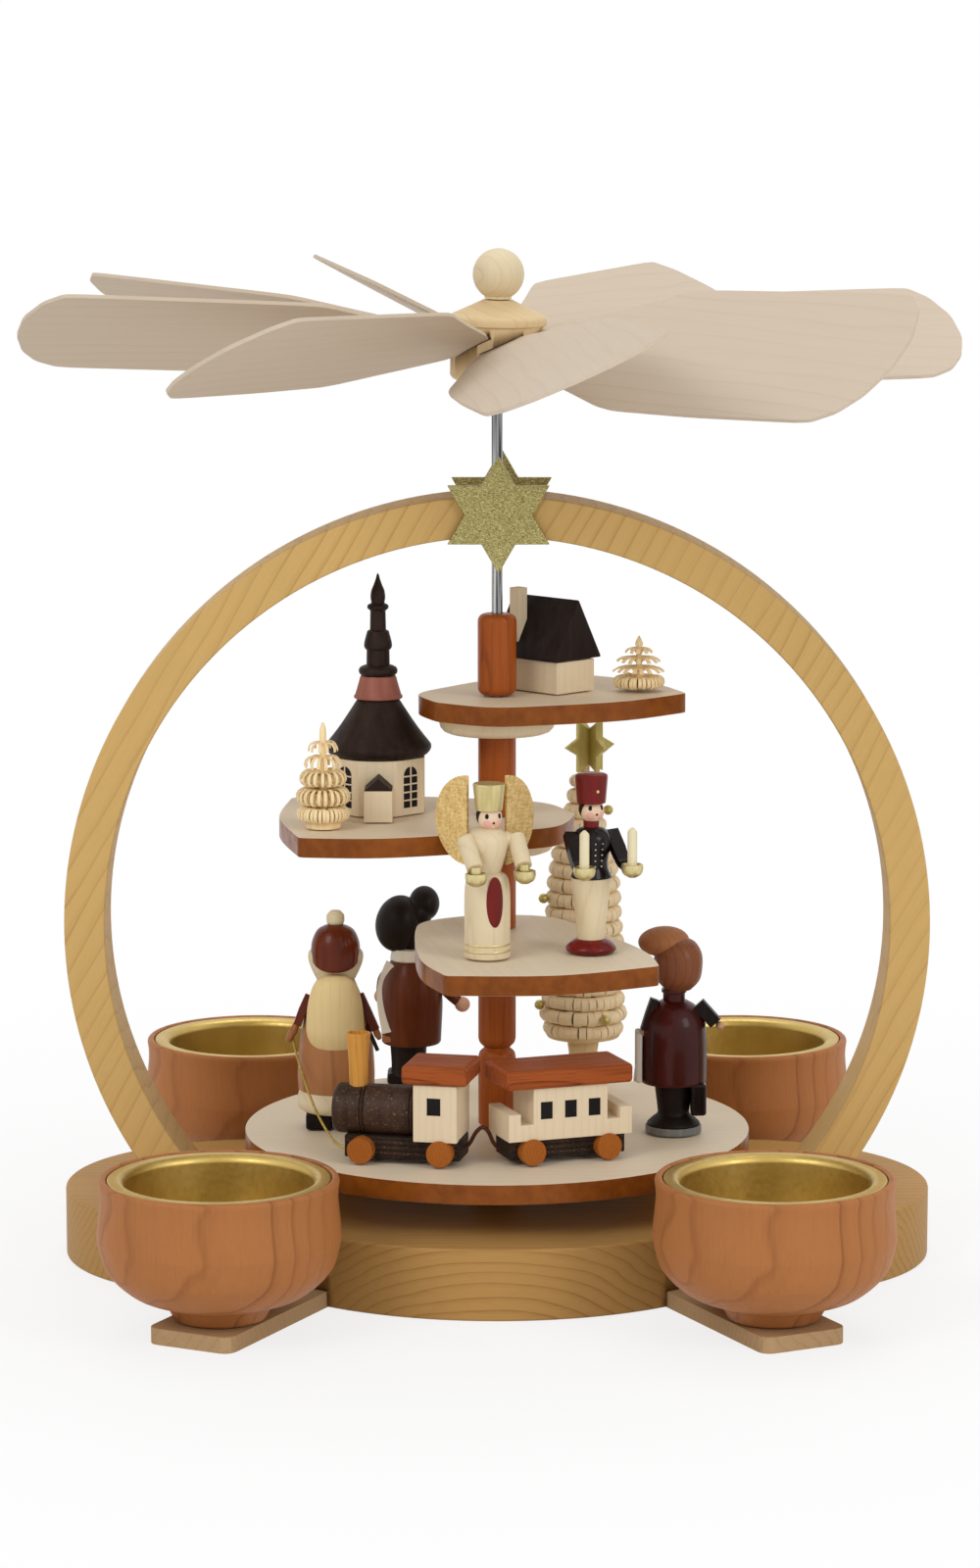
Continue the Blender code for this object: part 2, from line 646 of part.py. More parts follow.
def make_bush():
    """The bush in the arch's crown that keeps the shaft upright."""
    crown = ARCH_CENTRE_HEIGHT + ARCH_OUTER_RADIUS + SEAT
    top = crown + BUSH_FLANGE_THICKNESS
    bottom = ARCH_CENTRE_HEIGHT + ARCH_INNER_RADIUS
    bore = SHAFT_RADIUS + SEAT
    profile = [(bore, top), (BUSH_FLANGE_RADIUS, top), (BUSH_FLANGE_RADIUS, crown), (BUSH_RADIUS, crown),
               (BUSH_RADIUS, bottom), (bore, bottom)]
    return turned("arch_bush", profile, BRASS, steps=SMALL_STEPS, ring=True)


def make_shaft(rotor):
    profile = [(0, SHAFT_TOP), (SHAFT_RADIUS, SHAFT_TOP), (SHAFT_RADIUS, SHAFT_TIP_HEIGHT + SHAFT_TIP_LENGTH),
               (0, SHAFT_TIP_HEIGHT)]
    return turned("shaft", profile, STEEL, steps=TINY_STEPS, parent=rotor)


def blade_outline():
    shares = [(r * BLADE_LENGTH, h * BLADE_HALF_CHORD) for r, h in BLADE_SHARES]
    return [(BLADE_ROOT, BLADE_ROOT_HALF_WIDTH), *shares, (BLADE_ROOT, -BLADE_ROOT_HALF_WIDTH)]


def slot_outline():
    """The blade's root with clearance, out to where the blade has left the hub."""
    outline = blade_outline()
    root = BLADE_ROOT - SEAT
    half = BLADE_ROOT_HALF_WIDTH + 2 * SEAT
    (upper_x, upper_y), (lower_x, lower_y) = outline[1], outline[-2]
    return [(root, half), (upper_x, upper_y + 2 * SEAT), (lower_x, lower_y - 2 * SEAT), (root, -half)]


def make_wheel(rotor):
    """The hub, its eight blades and the ball knob, on an empty at the blades' height."""
    lean = frame("wheel", at=(0, 0, BLADE_HEIGHT), turn=(HUB_LEAN_X, HUB_LEAN_Y, 0), parent=rotor)
    bottom = HUB_BOTTOM - BLADE_HEIGHT
    rim = bottom + HUB_RIM_HEIGHT
    top = bottom + HUB_HEIGHT
    step = HUB_RIM_THICKNESS / 2
    under_rim = HUB_RADIUS - step / 2
    profile = [(0, top), (HUB_NECK_RADIUS, top), (HUB_RADIUS - step / 2, rim), (HUB_RADIUS, rim - step / 2),
               (HUB_RADIUS, rim - HUB_RIM_THICKNESS), (under_rim, rim - HUB_RIM_THICKNESS), (under_rim, bottom + step),
               (under_rim - step, bottom), (0, bottom)]
    hub = turned("hub", profile, MAPLE, steps=FINE_STEPS, parent=lean)
    bore = rod("hub_bore", (0, 0, HUB_BOTTOM - OVERRUN), (0, 0, SHAFT_TOP + SEAT), SHAFT_RADIUS + 2 * SEAT, None,
               steps=TINY_STEPS)
    peg_space = rod("peg_space", (0, 0, top - KNOB_PEG_LENGTH), (0, 0, top + OVERRUN), KNOB_PEG_RADIUS + SEAT, None,
                    steps=TINY_STEPS, parent=lean)
    cut(hub, bore, peg_space, *[make_blade(i + 1, *setting, lean) for i, setting in enumerate(BLADE_SETTINGS)])
    make_knob(top, lean)


def make_blade(number, pointing, tilt, lean):
    """One blade, and the slot that it needs in the hub."""
    turn = Euler((radians(tilt), 0, radians(pointing)))
    slab(f"blade_{number}", blade_outline(), BLADE_THICKNESS, VENEER, turn=turn, parent=lean)
    return slab(f"slot_{number}", slot_outline(), BLADE_THICKNESS + 2 * SEAT, None, turn=turn, parent=lean)


def make_knob(hub_top, lean):
    """The ball that the wheel is lifted off by, on a short neck with a peg."""
    neck = hub_top + SEAT
    middle = neck + KNOB_NECK_LENGTH + sqrt(KNOB_RADIUS**2 - KNOB_NECK_RADIUS**2)
    lowest = acos(-sqrt(KNOB_RADIUS**2 - KNOB_NECK_RADIUS**2) / KNOB_RADIUS)
    sphere = [(KNOB_RADIUS * sin(lowest * i / 8), middle + KNOB_RADIUS * cos(lowest * i / 8)) for i in range(9)]
    foot = neck - KNOB_PEG_LENGTH
    profile = [*sphere, (KNOB_NECK_RADIUS, neck), (KNOB_PEG_RADIUS, neck), (KNOB_PEG_RADIUS, foot), (0, foot)]
    return turned("knob", profile, MAPLE, steps=SMALL_STEPS, parent=lean)


def sleeve(name, radius, bottom, top, paint, rotor, rounding=(0.0, 0.0), steps=ROUND_STEPS, groove=None):
    """A turned piece that the shaft goes through, its ends rounded at the bottom and at the top."""
    bore = SHAFT_RADIUS + SEAT
    lower, upper = rounding
    profile = [(bore, top), (radius - upper, top), (radius, top - upper)]
    if groove:
        side = radius - groove["radius"]
        profile += [(radius, groove["height"] + side), (groove["radius"], groove["height"]),
                    (radius, groove["height"] - side)]
    profile += [(radius, bottom + lower), (radius - lower, bottom), (bore, bottom)]
    points = [p for i, p in enumerate(profile) if i == 0 or p != profile[i - 1]]
    return turned(name, points, paint, steps=steps, ring=True, parent=rotor)


def shelf_outline(size):
    """A tongue: two sharp outer corners, a slightly bowed outer edge and a round inner end."""
    corner = (size["corner_length"], size["corner_half_width"])
    side = (size["wide_length"], size["wide_half_width"])
    waist = (0, size["waist_half_width"])
    inner = (-size["inner_length"], 0)
    shoulder = (-size["inner_length"] * DIAGONAL_SHARE, size["waist_half_width"] * DIAGONAL_SHARE)
    flank = smooth_run([corner, side, waist, shoulder, inner], 4)
    mirrored = [(x, -y) for x, y in reversed(flank[:-1])]
    edge = smooth_run([mirrored[-1], (size["outer_length"], 0), corner], 4)
    outline = [*flank, *mirrored, *edge[1:-1]]
    return list(reversed(outline))


def make_shelf(name, size, top, rotor):
    shelf = slab(f"{name}_shelf", shelf_outline(size), TIER_THICKNESS, TIER, at=(0, 0, top - TIER_THICKNESS / 2),
                 turn=(0, 0, size["azimuth"]), parent=rotor)
    bore = rod(f"{name}_shelf_bore", (0, 0, top - TIER_THICKNESS - OVERRUN), (0, 0, top + OVERRUN),
               SHAFT_RADIUS + SEAT, None, steps=TINY_STEPS)
    return cut(shelf, bore)


def make_tiers(rotor):
    """The platform, the shelves and the turned pieces between them, from the bottom up."""
    sleeve("platform", PLATFORM_RADIUS, PLATFORM_TOP - TIER_THICKNESS, PLATFORM_TOP, TIER, rotor, steps=2 * FINE_STEPS)
    round_end = COLUMN_ROUNDING
    groove = {"radius": COLUMN_GROOVE_RADIUS, "height": PLATFORM_TOP + COLUMN_GROOVE_HEIGHT}
    sleeve("column_lower", COLUMN_RADIUS, PLATFORM_TOP + SEAT, THIRD_SHELF_TOP - TIER_THICKNESS - SEAT, PADAUK, rotor,
           rounding=(round_end / 2, 0), steps=SMALL_STEPS, groove=groove)
    make_shelf("third", SHELF_SIZES["third"], THIRD_SHELF_TOP, rotor)
    second_washer = SECOND_SHELF_TOP - TIER_THICKNESS - SEAT
    sleeve("column_middle", COLUMN_RADIUS, THIRD_SHELF_TOP + SEAT, second_washer - WASHER_THICKNESS - SEAT, PADAUK,
           rotor, steps=SMALL_STEPS)
    sleeve("second_washer", WASHER_RADIUS, second_washer - WASHER_THICKNESS, second_washer, MAPLE, rotor,
           rounding=(COLUMN_ROUNDING, 0))
    make_shelf("second", SHELF_SIZES["second"], SECOND_SHELF_TOP, rotor)
    top_washer = TOP_SHELF_TOP - TIER_THICKNESS - SEAT
    sleeve("column_upper", COLUMN_RADIUS, SECOND_SHELF_TOP + SEAT, top_washer - WASHER_THICKNESS - SEAT, PADAUK, rotor,
           steps=SMALL_STEPS)
    sleeve("top_washer", WASHER_RADIUS, top_washer - WASHER_THICKNESS, top_washer, MAPLE, rotor,
           rounding=(COLUMN_ROUNDING, 0))
    make_shelf("top", SHELF_SIZES["top"], TOP_SHELF_TOP, rotor)
    sleeve("handle", COLUMN_RADIUS, TOP_SHELF_TOP + SEAT, TOP_SHELF_TOP + SEAT + HANDLE_LENGTH, PADAUK, rotor,
           rounding=(round_end, round_end), steps=SMALL_STEPS)


def prism(name, width, height, length, paint, **where):
    """A ridge roof's block: its triangle in X and Z, its length along Y."""
    triangle = [(-width / 2, 0), (width / 2, 0), (0, height)]
    return slab(name, triangle, length, paint, turn=(pi / 2, 0, 0), **where)


def make_church(rotor):
    """An eight-sided body with a flat-topped porch, a round roof and a turned spire."""
    spot = frame("church_spot", at=(CHURCH_X, CHURCH_Y, SECOND_SHELF_TOP + SEAT), parent=rotor)
    corner_radius = CHURCH_WIDTH / 2 / cos(pi / CHURCH_SIDES)
    corners = arc((0, 0), corner_radius, pi / CHURCH_SIDES, pi / CHURCH_SIDES + FULL_TURN, CHURCH_SIDES)[:-1]
    walls = slab("church_walls", corners, CHURCH_WALL_HEIGHT, BIRCH, at=(0, 0, CHURCH_WALL_HEIGHT / 2), parent=spot)
    joined(walls, box("porch", (PORCH_WIDTH, PORCH_LENGTH, PORCH_HEIGHT), None,
                      centre=(0, -PORCH_LENGTH / 2, PORCH_HEIGHT / 2), parent=spot))
    eaves = CHURCH_WALL_HEIGHT + SEAT
    top = eaves + CHURCH_ROOF_HEIGHT
    rim = CHURCH_ROOF_RADIUS / 8
    profile = [(0, top), (SPIRE_RADIUS, top), (CHURCH_ROOF_RADIUS, eaves + rim), (CHURCH_ROOF_RADIUS, eaves), (0, eaves)]
    turned("church_roof", profile, WENGE, parent=spot)
    turned("church_spire", scaled(SPIRE_SHARES, SPIRE_RADIUS, SPIRE_HEIGHT), WENGE, steps=SMALL_STEPS,
           at=(0, 0, top + SEAT), parent=spot)


def make_house(rotor):
    """A small house whose roof block carries the chimney."""
    spot = frame("house_spot", at=(HOUSE_X, HOUSE_Y, TOP_SHELF_TOP + SEAT), turn=(0, 0, HOUSE_TURN), parent=rotor)
    box("house_walls", (HOUSE_WIDTH, HOUSE_LENGTH, HOUSE_WALL_HEIGHT), BIRCH, centre=(0, 0, HOUSE_WALL_HEIGHT / 2),
        parent=spot)
    eaves = HOUSE_WALL_HEIGHT + SEAT
    roof = prism("house_roof", HOUSE_WIDTH + 2 * HOUSE_EAVES, HOUSE_ROOF_HEIGHT, HOUSE_LENGTH + HOUSE_EAVES, WENGE,
                 at=(0, 0, eaves), parent=spot)
    chimney = box("chimney", (CHIMNEY_WIDTH, CHIMNEY_WIDTH, CHIMNEY_TOP - CHIMNEY_BOTTOM), None,
                  centre=(CHIMNEY_X, CHIMNEY_Y, eaves + (CHIMNEY_TOP + CHIMNEY_BOTTOM) / 2), parent=spot)
    return joined(roof, chimney)


def tree_profile(height, radius, trunk_radius, trunk_length, tiers, top_radius, crown):
    """Stacked round tiers that shrink upwards, over a trunk and under a spike."""
    rise = (crown - trunk_length) / tiers
    profile = [(0, height), (trunk_radius / 2, crown)]
    for i in reversed(range(tiers)):
        share = i / max(tiers - 1, 1)
        out = radius + (top_radius - radius) * share
        bottom = trunk_length + i * rise
        profile += [(out * 0.75, bottom + rise * 0.88), (out, bottom + rise / 2), (out * 0.75, bottom + rise * 0.12)]
    return [*profile, (trunk_radius, trunk_length), (trunk_radius, 0), (0, 0)]


def make_trees(rotor):
    """The large tree with its star, two points of it level, and the two small trees on the shelves."""
    height = PINE_HEIGHT + PINE_STAR_RISE
    profile = tree_profile(height, PINE_RADIUS, PINE_TRUNK_RADIUS, PINE_TRUNK_LENGTH, PINE_TIERS,
                           PINE_TOP_TIER_RADIUS, PINE_HEIGHT - PINE_STAR_RADIUS / 2)
    spot = frame("pine_spot", at=(PINE_X, PINE_Y, PLATFORM_TOP + SEAT), parent=rotor)
    pine = turned("pine_tree", profile, BIRCH, steps=SMALL_STEPS, parent=spot)
    level_star = [(y, x) for x, y in star_outline(PINE_STAR_RADIUS)]
    stars = [
        slab(f"pine_star_{i}", level_star, PINE_STAR_THICKNESS, None, at=(0, 0, height),
             turn=(pi / 2, 0, PINE_STAR_TURN + i * pi / 2), parent=spot)
        for i in range(2)
    ]
    joined(pine, *stars)
    tops = {"church_tree": SECOND_SHELF_TOP, "house_tree": TOP_SHELF_TOP}
    for name, size in SMALL_TREES.items():
        crown = size["height"] * 0.82
        profile = tree_profile(size["height"], size["radius"], SMALL_TRUNK_RADIUS, size["height"] * 0.04,
                               size["tiers"], size["radius"] * 0.45, crown)
        turned(name, profile, BIRCH, steps=SMALL_STEPS, at=(size["x"], size["y"], tops[name] + SEAT), parent=rotor)


def make_angel(rotor):
    """A crowned figure with two half-round wings and a cup in each hand."""
    spot = frame("angel_spot", at=(ANGEL_X, ANGEL_Y, THIRD_SHELF_TOP + SEAT), turn=(0, 0, ANGEL_TURN), parent=rotor)
    angel = turned("angel", scaled(ANGEL_SHARES, ANGEL_RADIUS, ANGEL_HEIGHT), MAPLE, steps=SMALL_STEPS, parent=spot)
    shoulder = ANGEL_HEIGHT * 0.65
    hand = ANGEL_HEIGHT * 0.475
    wings = frame("wings_spot", turn=(0, 0, WING_TURN), parent=spot)
    pieces = []
    for name, side in (("left", -1), ("right", 1)):
        reach = (side * ANGEL_RADIUS, -ANGEL_RADIUS * 1.2, hand)
        start = (side * ANGEL_RADIUS * 0.85, 0, shoulder)
        pieces.append(rod(f"angel_arm_{name}", start, reach, ARM_STICK_RADIUS, None, parent=spot))
        pieces.append(ball(f"angel_cup_{name}", [CANDLE_CUP_RADIUS] * 3, None, steps=TINY_STEPS, at=reach, parent=spot))
        half_disc = arc((0, 0), WING_RADIUS, -pi / 2, pi / 2, TINY_STEPS)
        turn = (pi / 2, 0, WING_SPREAD if side > 0 else pi - WING_SPREAD)
        root = (side * ANGEL_RADIUS * 0.73, ANGEL_RADIUS * 0.24, ANGEL_HEIGHT * 0.767)
        pieces.append(slab(f"wing_{name}", half_disc, WING_THICKNESS, None, at=root, turn=turn, parent=wings))
    return joined(angel, *pieces)


def make_miner(rotor):
    """A figure with a tall hat that holds up two candles."""
    spot = frame("miner_spot", at=(MINER_X, MINER_Y, THIRD_SHELF_TOP + SEAT), turn=(0, 0, MINER_TURN), parent=rotor)
    miner = turned("miner", scaled(MINER_SHARES, MINER_RADIUS, MINER_HEIGHT), WENGE, steps=SMALL_STEPS, parent=spot)
    pieces = []
    for name, side in (("left", -1), ("right", 1)):
        hand = Vector((side * MINER_RADIUS * 0.89, -MINER_RADIUS * 1.49, MINER_HEIGHT * 0.455))
        start = (side * MINER_RADIUS * 0.8, 0, MINER_HEIGHT * 0.62)
        candle = hand + Vector((0, 0, CANDLE_LENGTH + CANDLE_CUP_RADIUS / 2))
        pieces.append(rod(f"miner_arm_{name}", start, hand, ARM_STICK_RADIUS, None, parent=spot))
        pieces.append(ball(f"candle_cup_{name}", [CANDLE_CUP_RADIUS] * 3, None, steps=TINY_STEPS, at=hand, parent=spot))
        pieces.append(rod(f"candle_{name}", hand, candle, CANDLE_RADIUS, None, parent=spot))
    return joined(miner, *pieces)


def make_gnome(rotor):
    """A figure in a bobble cap with a sack on the viewer's side, which leads the train."""
    spot = frame("gnome_spot", at=(GNOME_X, GNOME_Y, PLATFORM_TOP + SEAT), parent=rotor)
    gnome = turned("gnome", scaled(GNOME_SHARES, GNOME_RADIUS, GNOME_HEIGHT), CHERRY, steps=SMALL_STEPS, parent=spot)
    sack_radii = (GNOME_SACK_RADIUS, GNOME_SACK_RADIUS * 0.62, GNOME_SACK_RADIUS * 1.3)
    sack = ball("sack", sack_radii, None, at=(0, -GNOME_RADIUS * 0.55, GNOME_HEIGHT * 0.53), parent=spot)
    pieces = [sack]
    hand = (-GNOME_RADIUS * 1.2, -GNOME_RADIUS * 0.2, GNOME_HEIGHT * 0.44)
    far_hand = (GNOME_RADIUS * 1.2, -GNOME_RADIUS * 0.2, GNOME_HEIGHT * 0.44)
    for name, side, end in (("left", -1, hand), ("right", 1, far_hand)):
        start = (side * GNOME_RADIUS * 0.75, 0, GNOME_HEIGHT * 0.62)
        pieces.append(rod(f"gnome_arm_{name}", start, end, ARM_STICK_RADIUS, None, parent=spot))
        pieces.append(ball(f"gnome_hand_{name}", [HAND_RADIUS] * 3, None, steps=TINY_STEPS, at=end, parent=spot))
    return joined(gnome, *pieces)


def make_hat_man(rotor):
    """A figure in a broad soft hat with a bag on one side and a ball in its hand."""
    spot = frame("hat_man_spot", at=(HAT_MAN_X, HAT_MAN_Y, PLATFORM_TOP + SEAT), parent=rotor)
    man = turned("hat_man", scaled(HAT_MAN_SHARES, HAT_MAN_RADIUS, HAT_MAN_HEIGHT), WENGE, steps=SMALL_STEPS,
                 parent=spot)
    crown = HAT_MAN_HEIGHT * 0.93
    hat_radii = (HAT_MAN_RADIUS * 0.72, HAT_MAN_RADIUS * 0.95, HAT_MAN_RADIUS * 0.82)
    head = ball("hat_man_head", [HAT_MAN_RADIUS * 0.6] * 3, None, at=(0, 0, HAT_MAN_HEIGHT * 0.86), parent=spot)
    hat = ball("hat", hat_radii, None, at=(-HAT_MAN_RADIUS * 0.35, 0, crown), turn=(0, radians(25), 0), parent=spot)
    brim = ball("hat_brim", [HAT_MAN_RADIUS * 0.55] * 3, None, at=(HAT_MAN_RADIUS * 0.45, HAT_MAN_RADIUS * 0.3,
                HAT_MAN_HEIGHT * 1.06), parent=spot)
    hand = (HAT_MAN_RADIUS * 1.75, HAT_MAN_RADIUS * 0.1, HAT_MAN_HEIGHT * 0.45)
    arm = rod("hat_man_arm", (HAT_MAN_RADIUS * 0.7, 0, HAT_MAN_HEIGHT * 0.6), hand, ARM_STICK_RADIUS, None, parent=spot)
    palm = ball("hat_man_hand", [HAND_RADIUS] * 3, None, steps=TINY_STEPS, at=hand, parent=spot)
    return joined(man, head, hat, brim, arm, palm)


def make_coat_man(rotor):
    """A figure in a long coat and a broad cap, with slab arms and a bag."""
    spot = frame("coat_man_spot", at=(COAT_MAN_X, COAT_MAN_Y, PLATFORM_TOP + SEAT), parent=rotor)
    man = turned("coat_man", scaled(COAT_MAN_SHARES, COAT_MAN_RADIUS, COAT_MAN_HEIGHT), PADAUK, steps=SMALL_STEPS,
                 parent=spot)
    head = ball("coat_man_head", [COAT_MAN_RADIUS * 0.74] * 3, None, at=(0, 0, COAT_MAN_HEIGHT * 0.865), parent=spot)
    cap_radii = (COAT_MAN_RADIUS * 0.82, COAT_MAN_RADIUS * 0.82, COAT_MAN_RADIUS * 0.42)
    cap = ball("coat_man_cap", cap_radii, None, at=(-COAT_MAN_RADIUS * 0.28, COAT_MAN_RADIUS * 0.3,
               COAT_MAN_HEIGHT * 0.955), turn=(0, radians(-25), 0), parent=spot)
    bag = box("coat_man_bag", (COAT_MAN_RADIUS * 0.3, COAT_MAN_RADIUS * 0.8, COAT_MAN_HEIGHT * 0.22), None,
              centre=(COAT_MAN_RADIUS * 0.72, COAT_MAN_RADIUS * 0.2, COAT_MAN_HEIGHT * 0.19), parent=spot)
    slats = []
    for name, side, out in (("left", -1, 1.08), ("right", 1, 1.35)):
        start = (side * COAT_MAN_RADIUS * 0.75, 0, COAT_MAN_HEIGHT * 0.63)
        end = (side * COAT_MAN_RADIUS * out, COAT_MAN_RADIUS * 0.5, COAT_MAN_HEIGHT * 0.52)
        slats.append(rod(f"coat_man_arm_{name}", start, end, ARM_STICK_RADIUS, None, steps=4, parent=spot))
    return joined(man, head, cap, bag, *slats)


def wheels(name, spot):
    """Four wheels at the sides of a chassis."""
    inner = CHASSIS_WIDTH / 2 - OVERRUN / 2
    return [
        rod(f"{name}_wheel_{i}_{j}", (x * WHEEL_SPACING / 2, y * inner, WHEEL_RADIUS),
            (x * WHEEL_SPACING / 2, y * TRAIN_HALF_WIDTH, WHEEL_RADIUS), WHEEL_RADIUS, None, steps=SMALL_STEPS,
            parent=spot)
        for i, x in enumerate((-1, 1)) for j, y in enumerate((-1, 1))
    ]


def chassis(name, length, paint, spot):
    height = CHASSIS_TOP - CHASSIS_CLEARANCE
    return box(name, (length, CHASSIS_WIDTH, height), paint, centre=(0, 0, CHASSIS_CLEARANCE + height / 2), parent=spot)


def train_roof(name, length, thickness, x, bottom, spot):
    roof = box(name, (length, TRAIN_ROOF_WIDTH, thickness), PADAUK, centre=(x, 0, bottom + thickness / 2), parent=spot)
    return rounded(roof, TRAIN_ROOF_BEVEL)


def make_engine(rotor):
    """A boiler and a cab on a chassis with four wheels, a tall funnel and a loose-edged roof."""
    spot = frame("engine_spot", at=(ENGINE_X, ENGINE_Y, PLATFORM_TOP + SEAT), turn=(0, 0, ENGINE_TURN), parent=rotor)
    engine = chassis("engine", ENGINE_CHASSIS_LENGTH, WENGE, spot)
    boiler = turned("boiler", [(0, CAB_START + OVERRUN), (BOILER_RADIUS, CAB_START + OVERRUN),
                               (BOILER_RADIUS, BOILER_END + BOILER_ROUNDING),
                               (BOILER_RADIUS - BOILER_ROUNDING, BOILER_END), (0, BOILER_END)],
                    None, steps=SMALL_STEPS, at=(0, 0, BOILER_HEIGHT), turn=(0, pi / 2, 0), parent=spot)
    cab = box("cab", (CAB_LENGTH, BODY_WIDTH, CAB_HEIGHT), None,
              centre=(CAB_START + CAB_LENGTH / 2, 0, BODY_BOTTOM + CAB_HEIGHT / 2), parent=spot)
    funnel = rod("funnel", (FUNNEL_X, 0, BOILER_HEIGHT + BOILER_RADIUS / 2), (FUNNEL_X, 0, FUNNEL_TOP),
                 FUNNEL_RADIUS * 0.76, None, end_radius=FUNNEL_RADIUS, steps=SMALL_STEPS, parent=spot)
    joined(engine, boiler, cab, funnel, *wheels("engine", spot))
    train_roof("engine_roof", ENGINE_ROOF_LENGTH, ENGINE_ROOF_THICKNESS, CAB_START + CAB_LENGTH / 2,
               BODY_BOTTOM + CAB_HEIGHT + SEAT, spot)


def make_wagon(rotor):
    """A carriage with an open end at each side of its cabin."""
    spot = frame("wagon_spot", at=(WAGON_X, WAGON_Y, PLATFORM_TOP + SEAT), turn=(0, 0, WAGON_TURN), parent=rotor)
    wagon = chassis("wagon", WAGON_CHASSIS_LENGTH, WENGE, spot)
    floor = box("wagon_floor", (WAGON_LENGTH, BODY_WIDTH, WAGON_FLOOR), None,
                centre=(0, 0, BODY_BOTTOM + WAGON_FLOOR / 2), parent=spot)
    cabin = box("wagon_cabin", (WAGON_CABIN_LENGTH, BODY_WIDTH, WAGON_CABIN_HEIGHT), None,
                centre=(0, 0, BODY_BOTTOM + WAGON_CABIN_HEIGHT / 2), parent=spot)
    rail_middle = (WAGON_LENGTH - WAGON_RAIL_THICKNESS) / 2
    rails = [
        box(f"wagon_rail_{i}", (WAGON_RAIL_THICKNESS, BODY_WIDTH, WAGON_RAIL_HEIGHT), None,
            centre=(side * rail_middle, 0, BODY_BOTTOM + WAGON_RAIL_HEIGHT / 2), parent=spot)
        for i, side in enumerate((-1, 1))
    ]
    joined(wagon, floor, cabin, *rails, *wheels("wagon", spot))
    train_roof("wagon_roof", WAGON_ROOF_LENGTH, WAGON_ROOF_THICKNESS, 0, BODY_BOTTOM + WAGON_CABIN_HEIGHT + SEAT, spot)


def make_cord(name, route, radius, steps, paint):
    """A thin cord along a smooth run through its route, with this many steps between two of its points."""
    curve = bpy.data.curves.new(name, "CURVE")
    curve.dimensions = "3D"
    curve.bevel_depth = radius
    curve.bevel_resolution = CORD_SIDES
    curve.use_fill_caps = True
    points = smooth_run(route, steps)
    spline = curve.splines.new("POLY")
    spline.points.add(len(points) - 1)
    for point, place in zip(spline.points, points):
        point.co = (*place, 1)
    return as_mesh(name, curve, paint)


clear_scene()
PARTS = collection("candle_carousel")
HELPERS = collection("cutters")
ASH = material("light ash", (0.80, 0.56, 0.29), 0.45)
BEECH = material("pale beech", (0.82, 0.66, 0.46), 0.55)
CHERRY = material("oiled cherry", (0.55, 0.26, 0.12), 0.4)
MAPLE = material("natural maple", (0.87, 0.74, 0.54), 0.5)
BIRCH = material("natural birch", (0.85, 0.72, 0.52), 0.55)
VENEER = material("birch veneer", (0.80, 0.66, 0.50), 0.5)
TIER = material("stained plywood", (0.62, 0.45, 0.29), 0.45)
PADAUK = material("red-brown hardwood", (0.36, 0.10, 0.03), 0.35)
WENGE = material("dark brown stain", (0.06, 0.03, 0.02), 0.4)
BRASS = material("pressed brass", (0.83, 0.65, 0.25), 0.25, 1.0)
GOLD = material("gold paint", (0.62, 0.50, 0.22), 0.35, 0.8)
STEEL = material("steel", (0.6, 0.6, 0.6), 0.25, 1.0)
TWINE = material("brown twine", (0.10, 0.04, 0.02), 0.8)

make_base()
for arm_name, arm_inner, arm_angle in arm_places():
    make_arm(arm_name, arm_inner, arm_angle)
    make_cup(arm_name, arm_inner, arm_angle)
    make_insert(arm_name, arm_inner, arm_angle)
make_arch()
for foot_side, foot_x in arch_feet():
    make_screw(foot_side, foot_x)
make_star("star_front", -1)
make_star("star_back", 1)
make_pan()
make_bush()

ROTOR = frame("rotor")
make_shaft(ROTOR)
make_wheel(ROTOR)
make_tiers(ROTOR)
make_church(ROTOR)
make_house(ROTOR)
make_trees(ROTOR)
make_angel(ROTOR)
make_miner(ROTOR)
make_gnome(ROTOR)
make_hat_man(ROTOR)
make_coat_man(ROTOR)
make_engine(ROTOR)
make_wagon(ROTOR)
make_cord("leash", LEASH_ROUTE, LEASH_RADIUS, LEASH_STEPS, GOLD)
make_cord("coupling_string", COUPLING_ROUTE, COUPLING_RADIUS, COUPLING_STEPS, TWINE)
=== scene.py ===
from math import acos, atan2, cos, pi, radians, sin, sqrt
from random import Random

import bmesh
import bpy
from mathutils import Matrix, Vector


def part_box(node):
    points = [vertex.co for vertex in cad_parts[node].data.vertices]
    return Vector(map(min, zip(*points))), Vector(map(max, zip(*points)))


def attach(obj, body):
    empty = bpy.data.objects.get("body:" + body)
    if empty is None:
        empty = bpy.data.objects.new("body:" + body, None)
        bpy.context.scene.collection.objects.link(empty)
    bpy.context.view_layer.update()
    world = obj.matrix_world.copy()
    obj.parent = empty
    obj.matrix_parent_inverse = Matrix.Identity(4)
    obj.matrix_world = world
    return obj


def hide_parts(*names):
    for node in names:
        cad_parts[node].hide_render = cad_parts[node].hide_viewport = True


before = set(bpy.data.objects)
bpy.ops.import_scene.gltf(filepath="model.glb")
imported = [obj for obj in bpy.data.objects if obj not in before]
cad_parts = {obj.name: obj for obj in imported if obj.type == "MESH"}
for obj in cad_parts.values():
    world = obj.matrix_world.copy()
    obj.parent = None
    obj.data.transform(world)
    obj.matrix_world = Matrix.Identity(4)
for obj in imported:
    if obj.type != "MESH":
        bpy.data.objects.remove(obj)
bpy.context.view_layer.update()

# Pieces are drawn in millimetres and brought to metres when their mesh is made
MM = 0.001
HERE = Matrix.Identity(4)
EDGE_ANGLE = radians(40)
CHANCE = Random(7)

